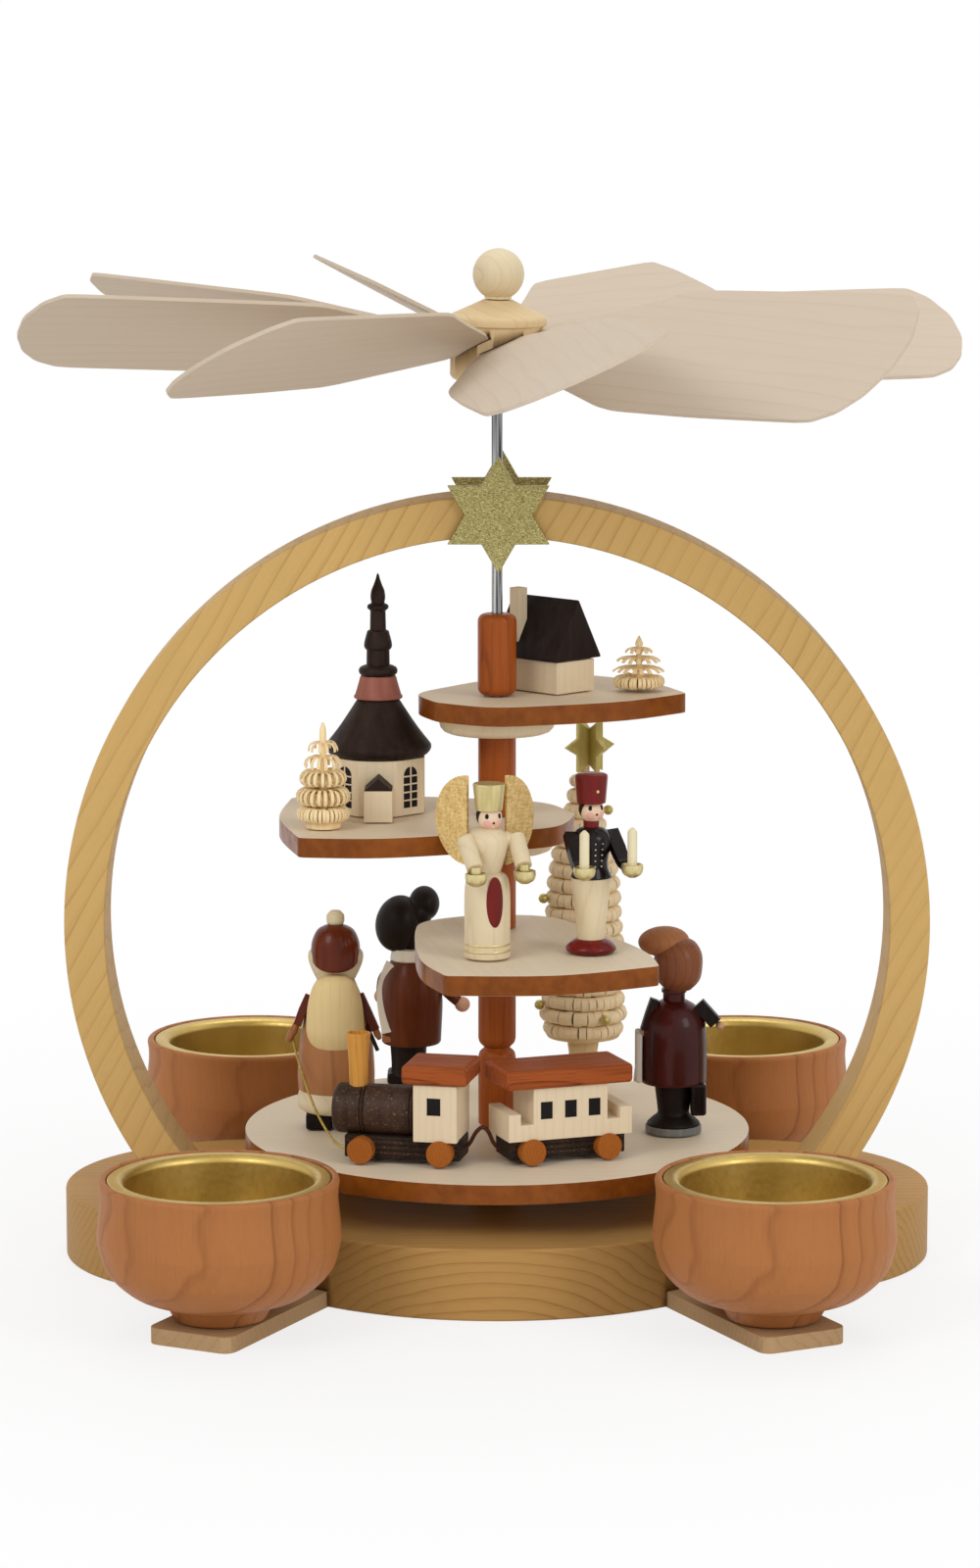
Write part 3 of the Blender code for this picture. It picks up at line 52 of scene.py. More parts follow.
# Camera: fitted to the photograph's rims, platform, base and arch
camera = bpy.data.objects.new("camera", bpy.data.cameras.new("camera"))
bpy.context.scene.collection.objects.link(camera)
bpy.context.scene.camera = camera
camera.location = (0, -1.04286, 0.26832)
camera.rotation_euler = (radians(90 - 8.8335), 0, 0)
camera.data.lens = 108.89
camera.data.sensor_width = 36
camera.data.shift_x = -0.0045


def moved(x=0, y=0, z=0, turn=0, tip=0, roll=0):
    """A place in millimetres, turned about Z after it was rolled about Y and tipped about X, in degrees."""
    place = Matrix.Translation((x, y, z)) @ Matrix.Rotation(radians(turn), 4, "Z")
    return place @ Matrix.Rotation(radians(roll), 4, "Y") @ Matrix.Rotation(radians(tip), 4, "X")


# Turns a flat form upright, so that its upper face looks towards -Y
UPRIGHT = moved(tip=90)


def arc(centre, radius, start, end, steps):
    """Points along an arc, both ends included; angles in degrees."""
    angles = [radians(start + (end - start) * i / steps) for i in range(steps + 1)]
    return [(centre[0] + radius * cos(a), centre[1] + radius * sin(a)) for a in angles]


def circle(radius, steps):
    return arc((0, 0), radius, 0, 360, steps)[:-1]


def smooth(points, pieces=6, loop=False):
    """Points on a smooth curve through these, with this many steps between two of them."""
    run = []
    ends = [points[-1], *points, points[0], points[1]] if loop else [points[0], *points, points[-1]]
    for before, start, end, after in zip(ends, ends[1:], ends[2:], ends[3:]):
        for i in range(pieces):
            t = i / pieces
            run.append(tuple(
                (2 * b + (c - a) * t + (2 * a - 5 * b + 4 * c - d) * t**2
                 + (3 * b - a - 3 * c + d) * t**3) / 2
                for a, b, c, d in zip(before, start, end, after)
            ))
    return run if loop else [*run, tuple(points[-1])]


def softened(outline, cut=0.25, rounds=2):
    """An outline whose corners are cut again and again, so that they become round."""
    for _ in range(rounds):
        outline = [
            (a[0] + (b[0] - a[0]) * share, a[1] + (b[1] - a[1]) * share)
            for a, b in zip(outline, [*outline[1:], outline[0]]) for share in (cut, 1 - cut)
        ]
    return outline


def linear(colour):
    """A colour of 0 to 255 as the renderer counts it."""
    return tuple(((c / 255 + 0.055) / 1.055) ** 2.4 if c > 10 else c / 255 / 12.92 for c in colour)


class Piece:
    """One shown object, made of one or more closed forms that each have a paint."""

    def __init__(self, name, body, at=HERE, replaces=(), slot=None):
        self.name, self.body, self.at, self.replaces, self.slot = name, body, at, replaces, slot
        self.shape = bmesh.new()
        self.paints = []

    def keep(self, faces, paint, place):
        """Paints new faces and puts them in place."""
        if paint not in self.paints:
            self.paints.append(paint)
        index = self.paints.index(paint)
        for face in faces:
            face.material_index = index
            face.smooth = True
        points = {v for f in faces for v in f.verts}
        bmesh.ops.transform(self.shape, matrix=place, verts=list(points))
        return faces

    def soften(self, faces, width, segments):
        """Rounds the sharp edges of these faces; each new face takes its neighbour's paint."""
        edges = {e for f in faces for e in f.edges}
        sharp = [e for e in edges if len(e.link_faces) == 2 and e.calc_face_angle(0) > EDGE_ANGLE]
        bmesh.ops.bevel(self.shape, geom=sharp, offset=width, segments=segments, affect="EDGES", profile=0.5,
                        clamp_overlap=True, material=-1)

    def lathe(self, profile, paint, place=HERE, steps=64, ring=False):
        """A profile of (radius, height), from the bottom up, turned round Z."""
        rings = []
        for radius, height in profile:
            if radius < 1e-6:
                rings.append([self.shape.verts.new((0, 0, height))] * steps)
            else:
                angles = [2 * pi * i / steps for i in range(steps)]
                points = [(radius * cos(a), radius * sin(a), height) for a in angles]
                rings.append([self.shape.verts.new(point) for point in points])
        pairs = list(zip(rings, rings[1:]))
        if ring:
            pairs.append((rings[-1], rings[0]))
        faces = []
        for lower, upper in pairs:
            for i in range(steps):
                j = (i + 1) % steps
                corners = list(dict.fromkeys([lower[i], lower[j], upper[j], upper[i]]))
                if len(corners) > 2:
                    faces.append(self.shape.faces.new(corners))
        return self.keep(faces, paint, place)

    def slab(self, outline, low, high, paint, place=HERE, soft=0.0, side_paint=None, segments=2):
        """A flat outline, counterclockwise, from one height to another."""
        area = sum(a[0] * b[1] - b[0] * a[1] for a, b in zip(outline, [*outline[1:], outline[0]]))
        if area < 0:
            outline = list(reversed(outline))
        bottom = [self.shape.verts.new((x, y, low)) for x, y in outline]
        top = [self.shape.verts.new((x, y, high)) for x, y in outline]
        count = len(outline)
        caps = [self.shape.faces.new(top), self.shape.faces.new(list(reversed(bottom)))]
        sides = [self.shape.faces.new((bottom[i], bottom[(i + 1) % count], top[(i + 1) % count], top[i]))
                 for i in range(count)]
        self.keep(caps + sides, paint, place)
        if side_paint:
            if side_paint not in self.paints:
                self.paints.append(side_paint)
            for face in sides:
                face.material_index = self.paints.index(side_paint)
        if soft:
            self.soften(caps + sides, soft, segments)

    def box(self, size, centre, paint, place=HERE, soft=0.2, segments=2):
        x, y, z = (s / 2 for s in size)
        flat = [(-x, -y), (x, -y), (x, y), (-x, y)]
        self.slab(flat, -z, z, paint, place @ Matrix.Translation(centre), soft, segments=segments)

    def ball(self, radii, centre, paint, place=HERE, steps=32):
        half = steps // 2
        profile = [(max(sin(pi * i / half), 0), -cos(pi * i / half)) for i in range(half + 1)]
        profile[0], profile[-1] = (0, -1), (0, 1)
        grown = place @ Matrix.Translation(centre) @ Matrix.Diagonal((*radii, 1))
        return self.lathe(profile, paint, grown, steps)

    def sweep(self, path, section, paint, side=None, sizes=None, place=HERE):
        """A section of (across, up) points drawn along a path, with closed ends."""
        path = [Vector(p) for p in path]
        last = len(path) - 1
        across = Vector(side) if side else (path[1] - path[0]).orthogonal()
        rings = []
        for i, point in enumerate(path):
            run = (path[min(i + 1, last)] - path[max(i - 1, 0)]).normalized()
            across = (across - run * across.dot(run)).normalized()
            up = run.cross(across)
            size = sizes[i] if sizes else 1
            rings.append([self.shape.verts.new(point + (across * u + up * v) * size) for u, v in section])
        count = len(section)
        faces = [
            self.shape.faces.new((a[k], a[(k + 1) % count], b[(k + 1) % count], b[k]))
            for a, b in zip(rings, rings[1:]) for k in range(count)
        ]
        faces += [self.shape.faces.new(list(reversed(rings[0]))), self.shape.faces.new(rings[-1])]
        return self.keep(faces, paint, place)

    def stick(self, path, radii, paint, place=HERE, steps=16):
        """A round rod along a path, with one radius or one to each point."""
        sizes = radii if isinstance(radii, (list, tuple)) else [radii] * len(path)
        return self.sweep(path, circle(1, steps), paint, sizes=sizes, place=place)

    def made(self, sharp=EDGE_ANGLE, cutters=()):
        """The object, in place and riding on its body."""
        bmesh.ops.recalc_face_normals(self.shape, faces=self.shape.faces)
        bmesh.ops.scale(self.shape, vec=(MM, MM, MM), verts=self.shape.verts)
        mesh = bpy.data.meshes.new(self.name)
        self.shape.to_mesh(mesh)
        self.shape.free()
        for paint in self.paints:
            mesh.materials.append(paint)
        mesh.set_sharp_from_angle(angle=sharp)
        obj = bpy.data.objects.new(self.name, mesh)
        bpy.context.scene.collection.objects.link(obj)
        place = self.at.copy()
        place.translation = place.translation * MM
        obj.matrix_world = place
        for cutter in cutters:
            step = obj.modifiers.new(cutter.name, "BOOLEAN")
            step.operation = "DIFFERENCE"
            step.solver = "EXACT"
            step.object = cutter
        if cutters:
            bpy.context.view_layer.update()
            solid = bpy.data.meshes.new_from_object(obj.evaluated_get(bpy.context.evaluated_depsgraph_get()))
            obj.modifiers.clear()
            obj.data = solid
            obj.data.set_sharp_from_angle(angle=sharp)
        even = obj.modifiers.new("even shading", "WEIGHTED_NORMAL")
        even.keep_sharp = True
        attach(obj, self.body)
        if self.replaces:
            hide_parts(*self.replaces)
        return obj


# Materials


class Nodes:
    """A material's node tree, with short calls for the nodes used here."""

    def __init__(self, name, roughness, metallic=0.0, coat=0.0, coat_roughness=0.1):
        self.material = bpy.data.materials.new(name)
        self.material.use_nodes = True
        self.tree = self.material.node_tree
        self.shader = self.tree.nodes["Principled BSDF"]
        self.shader.inputs["Roughness"].default_value = roughness
        self.shader.inputs["Metallic"].default_value = metallic
        self.shader.inputs["Coat Weight"].default_value = coat
        self.shader.inputs["Coat Roughness"].default_value = coat_roughness
        self.shader.inputs["Specular IOR Level"].default_value = 0.5 if metallic else 0.13
        self.shader.inputs["Coat IOR"].default_value = 1.3

    def node(self, kind, **inputs):
        made = self.tree.nodes.new(kind)
        for key, value in inputs.items():
            if key in made.bl_rna.properties:
                setattr(made, key, value)
        return made

    def put(self, socket, value):
        if isinstance(value, bpy.types.NodeSocket):
            self.tree.links.new(value, socket)
        else:
            socket.default_value = value

    def math(self, operation, a, b=0.0, clamp=False):
        made = self.node("ShaderNodeMath", operation=operation, use_clamp=clamp)
        self.put(made.inputs[0], a)
        self.put(made.inputs[1], b)
        return made.outputs[0]

    def times(self, a, b, clamp=False):
        return self.math("MULTIPLY", a, b, clamp)

    def plus(self, a, b, clamp=False):
        return self.math("ADD", a, b, clamp)

    def minus(self, a, b):
        return self.math("SUBTRACT", a, b)

    def dot(self, vector, direction):
        made = self.node("ShaderNodeVectorMath", operation="DOT_PRODUCT")
        self.put(made.inputs[0], vector)
        made.inputs[1].default_value = direction
        return made.outputs["Value"]

    def axes(self, place):
        return [self.dot(place, direction) for direction in ((1, 0, 0), (0, 1, 0), (0, 0, 1))]

    def combine(self, x, y, z):
        made = self.node("ShaderNodeCombineXYZ")
        for socket, value in zip(made.inputs, (x, y, z)):
            self.put(socket, value)
        return made.outputs[0]

    def noise(self, vector, scale, detail=3.0, roughness=0.5):
        made = self.node("ShaderNodeTexNoise")
        self.put(made.inputs["Vector"], vector)
        made.inputs["Scale"].default_value = scale
        made.inputs["Detail"].default_value = detail
        made.inputs["Roughness"].default_value = roughness
        return made.outputs["Fac"]

    def spread(self, value, low, high, to_low=0.0, to_high=1.0):
        made = self.node("ShaderNodeMapRange")
        self.put(made.inputs["Value"], value)
        for name, number in (("From Min", low), ("From Max", high), ("To Min", to_low), ("To Max", to_high)):
            made.inputs[name].default_value = number
        return made.outputs[0]

    def ramp(self, value, stops):
        made = self.node("ShaderNodeValToRGB")
        self.put(made.inputs[0], value)
        elements = made.color_ramp.elements
        while len(elements) < len(stops):
            elements.new(0.5)
        for element, (position, colour) in zip(elements, stops):
            element.position = position
            element.color = (*linear(colour), 1) if len(colour) == 3 else colour
        return made.outputs["Color"]

    def mix(self, share, a, b, blend="MIX"):
        made = self.node("ShaderNodeMix", data_type="RGBA", blend_type=blend)
        self.put(made.inputs[0], share)
        for socket, value in ((made.inputs[6], a), (made.inputs[7], b)):
            self.put(socket, (*linear(value), 1) if isinstance(value, tuple) and len(value) == 3 else value)
        return made.outputs[2]

    def colour(self, value):
        self.put(self.shader.inputs["Base Color"], value)

    def bump(self, height, strength, distance):
        made = self.node("ShaderNodeBump")
        self.put(made.inputs["Height"], height)
        made.inputs["Strength"].default_value = strength
        made.inputs["Distance"].default_value = distance
        self.put(self.shader.inputs["Normal"], made.outputs[0])

    def place(self):
        return self.node("ShaderNodeTexCoord").outputs["Object"]


def wood(name, light, dark, spacing=2.5, fibre=(0, 0, 1), across=(1, 0, 0), pith=None, waviness=1.0,
         contrast=1.0, roughness=0.5, coat=0.0, streaks=0.35, end_grain=0.0, relief=0.4):
    """Wood with growth rings, fibres that run one way, and short pores; spacing and pith in millimetres."""
    n = Nodes(name, roughness, coat=coat, coat_roughness=0.15)
    fibre = Vector(fibre).normalized()
    across = Vector(across)
    across = (across - fibre * across.dot(fibre)).normalized()
    third = fibre.cross(across)
    place = n.place()
    along, ring, depth = (n.dot(place, d) for d in (fibre, across, third))
    slow = n.combine(n.times(along, 0.22), ring, depth)
    fast = n.combine(n.times(along, 0.035), ring, depth)
    sway = n.times(n.minus(n.noise(slow, 55, 2.0), 0.5), 0.009 * waviness)
    if pith:
        a = n.minus(ring, pith[0] * MM)
        b = n.minus(depth, pith[1] * MM)
        distance = n.math("SQRT", n.plus(n.times(a, a), n.times(b, b)))
    else:
        distance = ring
    rings = n.math("FRACT", n.math("DIVIDE", n.plus(distance, sway), spacing * MM))
    line = n.ramp(rings, [(0.0, (70, 70, 70)), (0.10, (0, 0, 0)), (0.5, (12, 12, 12)),
                          (0.82, (150, 150, 150)), (0.94, (255, 255, 255)), (1.0, (70, 70, 70))])
    patches = n.spread(n.noise(slow, 38, 3.0), 0.3, 0.7, 0.25, 1.0)
    fibres = n.noise(fast, 1500, 3.0, 0.6)
    pores = n.spread(n.noise(fast, 3600, 2.0, 0.6), 0.60, 0.74)
    share = n.times(n.times(line, patches), 0.85 * contrast, clamp=True)
    share = n.plus(share, n.times(n.minus(fibres, 0.5), streaks), clamp=True)
    share = n.plus(share, n.times(pores, 0.25 * streaks), clamp=True)
    colour = n.mix(share, light, dark)
    if end_grain:
        facing = n.math("ABSOLUTE", n.dot(n.node("ShaderNodeTexCoord").outputs["Normal"], fibre))
        cut = n.times(n.math("POWER", facing, 2.0), end_grain)
        colour = n.mix(cut, colour, tuple(c * 0.72 for c in dark))
    n.colour(colour)
    n.put(n.shader.inputs["Roughness"], n.spread(fibres, 0.3, 0.7, roughness - 0.06, roughness + 0.08))
    n.bump(n.minus(fibres, n.times(pores, 0.6)), 0.2 if coat else relief, 0.00012)
    return n.material


def paint(name, colour, shade, roughness=0.35, coat=0.0, metallic=0.0, scale=600, bump=0.15, grain=1.0,
          worn=None):
    """Paint or stain over wood: slightly uneven in colour and gloss, with the wood's fibres under it.

    A worn colour shows in small specks where the stain has rubbed off."""
    n = Nodes(name, roughness, metallic, coat)
    place = n.place()
    x, y, z = n.axes(place)
    fibres = n.noise(n.combine(x, y, n.times(z, 0.12 * grain + (1 - grain))), scale, 4.0, 0.6)
    clouds = n.noise(place, scale / 6, 3.0)
    share = n.spread(n.plus(n.times(fibres, 0.6), n.times(clouds, 0.4)), 0.38, 0.62)
    shown = n.mix(share, colour, shade)
    if worn:
        specks = n.spread(n.noise(place, 1900, 3.0, 0.7), 0.60, 0.68, 0.0, 0.75)
        shown = n.mix(specks, shown, worn)
    n.colour(shown)
    n.put(n.shader.inputs["Roughness"], n.spread(fibres, 0.3, 0.7, max(roughness - 0.06, 0.05),
                                                 roughness + 0.1))
    n.bump(fibres, bump, 0.0001)
    return n.material


def hatched(name, colour, shade, roughness=0.32, fineness=3000, metallic=0.85):
    """Pressed gold foil: a fine crossed hatching that sparkles."""
    n = Nodes(name, roughness, metallic)
    place = n.place()
    x, y, z = n.axes(place)
    rows = n.noise(n.combine(n.times(x, 0.3), y, n.times(z, 1.8)), fineness, 2.0)
    columns = n.noise(n.combine(n.times(x, 1.8), y, n.times(z, 0.3)), fineness, 2.0)
    weave = n.plus(n.times(rows, 0.6), n.times(columns, 0.4))
    n.colour(n.mix(n.spread(weave, 0.40, 0.60), colour, shade))
    n.put(n.shader.inputs["Roughness"], n.spread(weave, 0.35, 0.65, roughness - 0.08, roughness + 0.15))
    n.bump(weave, 0.9, 0.0003)
    return n.material


def metal(name, colour, roughness, shade, stretch=(1, 1, 1), scale=900, clouds=90):
    """Satin metal with fine working marks. Its colour and shade mix in noise clouds: even random tone at a
    low scale, and painted reflection streaks where the clouds are fine and stretched along Z.
    """
    n = Nodes(name, roughness, 1.0)
    place = n.place()
    drawn = n.combine(*(n.times(v, s) for v, s in zip(n.axes(place), stretch)))
    marks = n.noise(drawn, scale, 3.0)
    n.colour(n.mix(n.spread(n.noise(drawn, clouds, 3.0), 0.35, 0.65), colour, shade))
    n.put(n.shader.inputs["Roughness"], n.spread(marks, 0.3, 0.7, roughness - 0.04, roughness + 0.06))
    n.bump(marks, 0.12, 0.00005)
    return n.material


ASH = wood("ash", (206, 169, 106), (172, 129, 68), spacing=3.6, fibre=(0.5, 0, 0.87), across=(0.87, 0, -0.5),
           contrast=0.85, end_grain=0.35, streaks=0.4)
ASH_BOARD = wood("ash board", (184, 142, 82), (142, 99, 48), spacing=1.8, fibre=(1, 0, 0),
                 across=(0, 0.77, 0.64), contrast=0.9, waviness=0.7, end_grain=0.15, streaks=0.4)
BEECH = wood("beech", (188, 156, 116), (146, 112, 74), spacing=1.6, fibre=(1, 0, 0), across=(0, 1, 0.3),
             contrast=0.5, roughness=0.65, end_grain=0.2, streaks=0.6)
CHERRY = wood("cherry", (174, 113, 65), (118, 66, 32), spacing=6.5, pith=(34, 21), contrast=0.85,
              waviness=1.6, roughness=0.48, streaks=0.35)
MAPLE = wood("maple", (220, 194, 150), (194, 160, 112), spacing=2.4, pith=(9, 7), contrast=0.5,
             streaks=0.3)
PALE = wood("pale turned wood", (225, 208, 174), (203, 178, 138), spacing=1.6, pith=(5, 4), contrast=0.5,
            roughness=0.45, streaks=0.35)
BIRCH = wood("birch", (232, 214, 183), (212, 187, 148), spacing=1.7, across=(1, 0.5, 0),
             contrast=0.45, roughness=0.58, streaks=0.3)
CURLS = wood("shavings", (248, 224, 176), (218, 180, 122), spacing=1.4, contrast=0.5, roughness=0.55,
             streaks=0.5)
ROLLS = wood("rolled shavings", (242, 221, 182), (214, 184, 136), spacing=1.4, contrast=0.4, roughness=0.55,
             streaks=0.4)
VENEER = wood("veneer", (206, 190, 170), (186, 166, 142), spacing=4.0, fibre=(1, 0, 0), across=(0, 1, 0.2),
              contrast=0.4, roughness=0.62, streaks=0.25, relief=0.15)
TIER_FACE = wood("tier face", (228, 213, 188), (208, 190, 160), spacing=3.2, fibre=(1, 0, 0),
                 across=(0, 1, 0.2), contrast=0.35, streaks=0.25)
TIER_EDGE = paint("tier edge lacquer", (142, 78, 22), (118, 60, 14), coat=0.15, scale=300, bump=0.1,
                  grain=0.0)
PADAUK = wood("padauk", (162, 82, 30), (108, 45, 12), spacing=2.2, pith=(4, 9), contrast=0.8, roughness=0.38,
              coat=0.15, streaks=1.2)
PADAUK_BOARD = wood("padauk board", (166, 84, 38), (84, 32, 8), spacing=1.5, fibre=(1, 0, 0),
                    across=(0, 0.8, 0.5), contrast=0.9, streaks=1.7, relief=0.9)
WENGE = paint("wenge stain", (50, 35, 29), (33, 22, 18), roughness=0.5, scale=500, bump=0.3)
DARK_WENGE = paint("dark roof stain", (41, 30, 27), (27, 18, 16), roughness=0.5, scale=500, bump=0.3)
BLACK = paint("black stain", (34, 23, 19), (20, 13, 10), roughness=0.45, scale=500, bump=0.25)
CHASSIS = paint("worn chassis stain", (50, 37, 29), (34, 24, 18), roughness=0.5, scale=500, bump=0.3,
                worn=(112, 84, 62))
BOILER = paint("worn boiler stain", (74, 54, 42), (46, 32, 25), roughness=0.45, scale=500, bump=0.3,
               worn=(150, 118, 90))
WINDOW = paint("window black", (32, 28, 29), (20, 17, 18), roughness=0.45, scale=500)
ROSE = paint("rose stain", (160, 102, 88), (142, 86, 73), roughness=0.55, scale=450, bump=0.2)
BRASS = metal("brass", (200, 174, 104), 0.42, (186, 158, 84))
# Painted reflection: the near-black shade, in fine vertical stripes round the rod, paints the dark and bright
# streaks a polished rod mirrors. The shaft and the arch screws carry it.
STEEL = metal("steel", (198, 198, 198), 0.25, (28, 28, 30), stretch=(1, 1, 0.02), clouds=1500)
GOLD = paint("champagne gold", (222, 208, 158), (200, 184, 126), roughness=0.32, metallic=0.85, scale=900,
             bump=0.15)
FOIL = hatched("gold foil", (208, 198, 136), (126, 116, 64), fineness=5200)
WING_GOLD = hatched("wing gold", (238, 208, 142), (206, 170, 102), roughness=0.5, fineness=1200, metallic=0.4)
TREE_GOLD = paint("olive gold", (200, 184, 112), (168, 152, 82), roughness=0.38, metallic=0.6)
LEASH_GOLD = paint("leash gold", (196, 172, 92), (150, 126, 60), roughness=0.4, metallic=0.8, scale=1500)
TWINE = paint("brown twine", (92, 52, 38), (58, 30, 22), roughness=0.8, scale=2600, bump=0.9, grain=0.0)
RED = paint("red lacquer", (120, 24, 18), (92, 16, 13), roughness=0.3, coat=0.4, scale=300, bump=0.05)
DARK_RED = paint("dark red lacquer", (76, 20, 15), (42, 10, 8), coat=0.4, scale=160, bump=0.1)
SKIN = paint("face paint", (234, 206, 178), (224, 190, 160), roughness=0.55, scale=300, bump=0.05)
CHEEK = paint("cheek paint", (232, 176, 158), (230, 186, 166), roughness=0.55, scale=300, bump=0.05)
HAND = paint("hand wood", (214, 168, 142), (192, 142, 116), roughness=0.5, scale=300, bump=0.1)
HAIR = paint("hair paint", (52, 32, 22), (34, 20, 14), roughness=0.5, scale=700, bump=0.2)
INK = paint("eye paint", (24, 19, 19), (15, 12, 12))
COAT_BLACK = paint("black lacquer", (30, 20, 18), (18, 11, 10), roughness=0.22, coat=0.4, scale=260,
                   bump=0.05)
LINEN = paint("linen white", (226, 218, 202), (212, 202, 184), roughness=0.5, scale=300, bump=0.1)
CANDLE = paint("candle cream", (232, 222, 186), (220, 206, 166), roughness=0.5, scale=300, bump=0.08)
GNOME_WOOD = wood("gnome wood", (176, 120, 76), (126, 78, 44), spacing=3.0, pith=(12, 8), contrast=0.7,
                  roughness=0.45, coat=0.15, streaks=0.7)
HEAD_WOOD = wood("head wood", (128, 76, 48), (72, 34, 20), spacing=1.5, pith=(3.2, -2.6), contrast=0.8,
                 waviness=1.4, roughness=0.42, coat=0.2, streaks=0.5)
SACK = wood("sack wood", (234, 209, 152), (212, 180, 122), spacing=2.0, contrast=0.4,
            streaks=0.4)
BROWN = paint("red-brown lacquer", (108, 42, 13), (82, 28, 8), roughness=0.32, coat=0.35, scale=260, bump=0.1)
COAT_BROWN = paint("brown stain", (100, 46, 18), (70, 30, 10), roughness=0.42, coat=0.15, scale=350, bump=0.2)
TAN = wood("tan wood", (160, 104, 66), (126, 76, 44), spacing=1.8, pith=(4, 3), contrast=0.6)
FUNNEL = wood("funnel wood", (216, 154, 72), (152, 94, 34), spacing=1.2, pith=(3, 3), contrast=0.5,
              streaks=0.9)
WHEEL_WOOD = wood("wheel wood", (168, 96, 36), (112, 56, 18), spacing=0.8, fibre=(0, 1, 0),
                  across=(1, 0, 0.6), contrast=0.8, roughness=0.48, streaks=0.8)
GREY = paint("grey paint", (136, 136, 132), (112, 112, 108), roughness=0.55, scale=500)
CLOTH_GREY = paint("pale grey paint", (206, 198, 186), (188, 178, 164), roughness=0.55, scale=400)


# Cords: the routes are the points that the CAD source has
LEASH_ROUTE = (
    (-45.68, -4.18, 49.28), (-44.6, -8.2, 46.3), (-42.5, -14.5, 41.5), (-40.0, -21.0, 36.8),
    (-36.8, -27.0, 32.6), (-34.7, -29.8, 31.0), (-32.55, -30.9, 30.5),
)
COUPLING_ROUTE = (
    (-6.85, -36.3, 32.0), (-5.9, -36.6, 33.0), (-4.6, -36.9, 35.4), (-3.2, -37.0, 36.6), (-1.9, -36.8, 35.6),
    (-0.9, -36.3, 33.2), (0.1, -35.8, 31.9), (0.95, -35.5, 31.6),
)


def make_cord(name, route, radius, colour, slot, node):
    """A round cord in place of its CAD node; gives the object and its smooth path."""
    path = smooth(list(route), 4)
    made = Piece(name, "carousel", replaces=[node], slot=slot)
    made.stick(path, radius, colour, steps=12)
    return made.made(), path


leash, leash_path = make_cord("gold_leash", LEASH_ROUTE, 0.28, LEASH_GOLD, "gold", "leash")
make_cord("coupling_cord", COUPLING_ROUTE, 0.45, TWINE, "twine", "coupling_string")


# Base, arms, cups, brass pans and arch
BOARD_TOP, SLAT_TOP, PAN_RIM = 15.7, 3.8, 33.0
ARCH_OUTER, ARCH_INNER, ARCH_HALF_WIDTH = 96, 87, 9
ARCH_CENTRE, ARCH_FOOT = 75.3, 16.0


def base_outline(steps=40):
    """A disc with a lobe on each side and a fillet where they meet: one quarter is drawn and mirrored."""
    radius, lobe, offset, fillet = 62.5, 42, 55, 8
    reach, lobe_reach = radius + fillet, lobe + fillet
    bearing = acos((reach**2 + offset**2 - lobe_reach**2) / (2 * reach * offset))
    middle = (reach * cos(bearing), reach * sin(bearing))
    lobe_bearing = atan2(middle[1], middle[0] - offset)
    turn = 180 / pi
    outer = arc((offset, 0), lobe, 0, lobe_bearing * turn, steps)
    inside = arc(middle, fillet, 180 + lobe_bearing * turn, 180 + bearing * turn, 8)
    centre = arc((0, 0), radius, bearing * turn, 90, steps // 2)
    quarter = [*outer, *inside[1:], *centre[1:]]
    half = [*quarter, *[(-x, y) for x, y in reversed(quarter[:-1])]]
    return [*half, *[(x, -y) for x, y in reversed(half[1:-1])]]


def helper(name, outline, low, high, place=HERE):
    """A cutter: a slab that is taken away again after its cut."""
    made = Piece(name, "stand")
    made.slab(outline, low, high, ASH, place)
    return made.made()


def away(*helpers):
    for obj in helpers:
        bpy.data.objects.remove(obj, do_unlink=True)


ARM_ANGLE = 63.5
CUP_X, CUP_Y = 58.397, 71.776
CUP_SPOTS = {
    "front_left": (-CUP_X, -CUP_Y, 180 + ARM_ANGLE), "back_left": (-CUP_X, CUP_Y, 180 - ARM_ANGLE),
    "front_right": (CUP_X, -CUP_Y, -ARM_ANGLE), "back_right": (CUP_X, CUP_Y, ARM_ANGLE),
}
POCKET = [(-58.8, -10.3), (-58.8, 10.3), (20, 10.3), (20, -10.3)]
pockets = [
    helper(f"pocket_{name}", POCKET, -2, SLAT_TOP, moved(x, y, 0, turn))
    for name, (x, y, turn) in CUP_SPOTS.items()
]
pan_hole = helper("pan_hole", circle(5.3, 48), 9.4, 20)
board = Piece("base_lobed", "stand", replaces=["base_board"], slot="ash")
board.slab(base_outline(), 0, BOARD_TOP, ASH_BOARD, soft=0.7, segments=3)
board.made(cutters=[*pockets, pan_hole])
away(*pockets, pan_hole)

for name, (x, y, turn) in CUP_SPOTS.items():
    cup = Piece(f"cup_turned_{name}", "stand", moved(x, y, SLAT_TOP), [f"cup_{name}"], "cherry")
    outer = smooth([(9.8, 0.1), (11.7, 3.1), (14.2, 4.0), (18.0, 5.4), (20.8, 7.4), (22.9, 9.5), (24.5, 12.0),
                    (25.6, 16.5), (25.7, 18.7), (25.06, 25.7), (25.35, 29.3)], 5)
    cup.lathe([(0, -2.5), (3, -2.5), (3, 0), (9.6, 0), *outer, (25.25, 29.75), (24.85, 30.15), (24.5, 30.2),
               (24.05, 30.15), (23.8, 29.9), (23.8, 28.9), (21, 28.9), (21, 14.1), (0, 14.1)], CHERRY,
              steps=96)
    cup.made()
    pan = Piece(f"brass_pan_{name}", f"pan_{name}", moved(x, y, PAN_RIM), [f"insert_{name}"], "brass")
    lip = arc((21.7, -0.9), 1.7, 90, 180, 8)
    foot = arc((18.2, -11.9), 1.9, 0, -90, 6)
    pan.lathe([(0, -14.5), (17.5, -14.5), *[(r + 0.7, z - 0.7) for r, z in reversed(foot[:-1])], (20.7, -11),
               (20.7, -1.2), (21.2, 0), (23.2, 0), (23.5, 0.25), (23.5, 0.6), (23.2, 0.8), *lip,
               (20.0, -11.9), *[(r - 0.1, z) for r, z in foot[1:]], (0, -13.8)], BRASS, steps=96)
    pan.made()

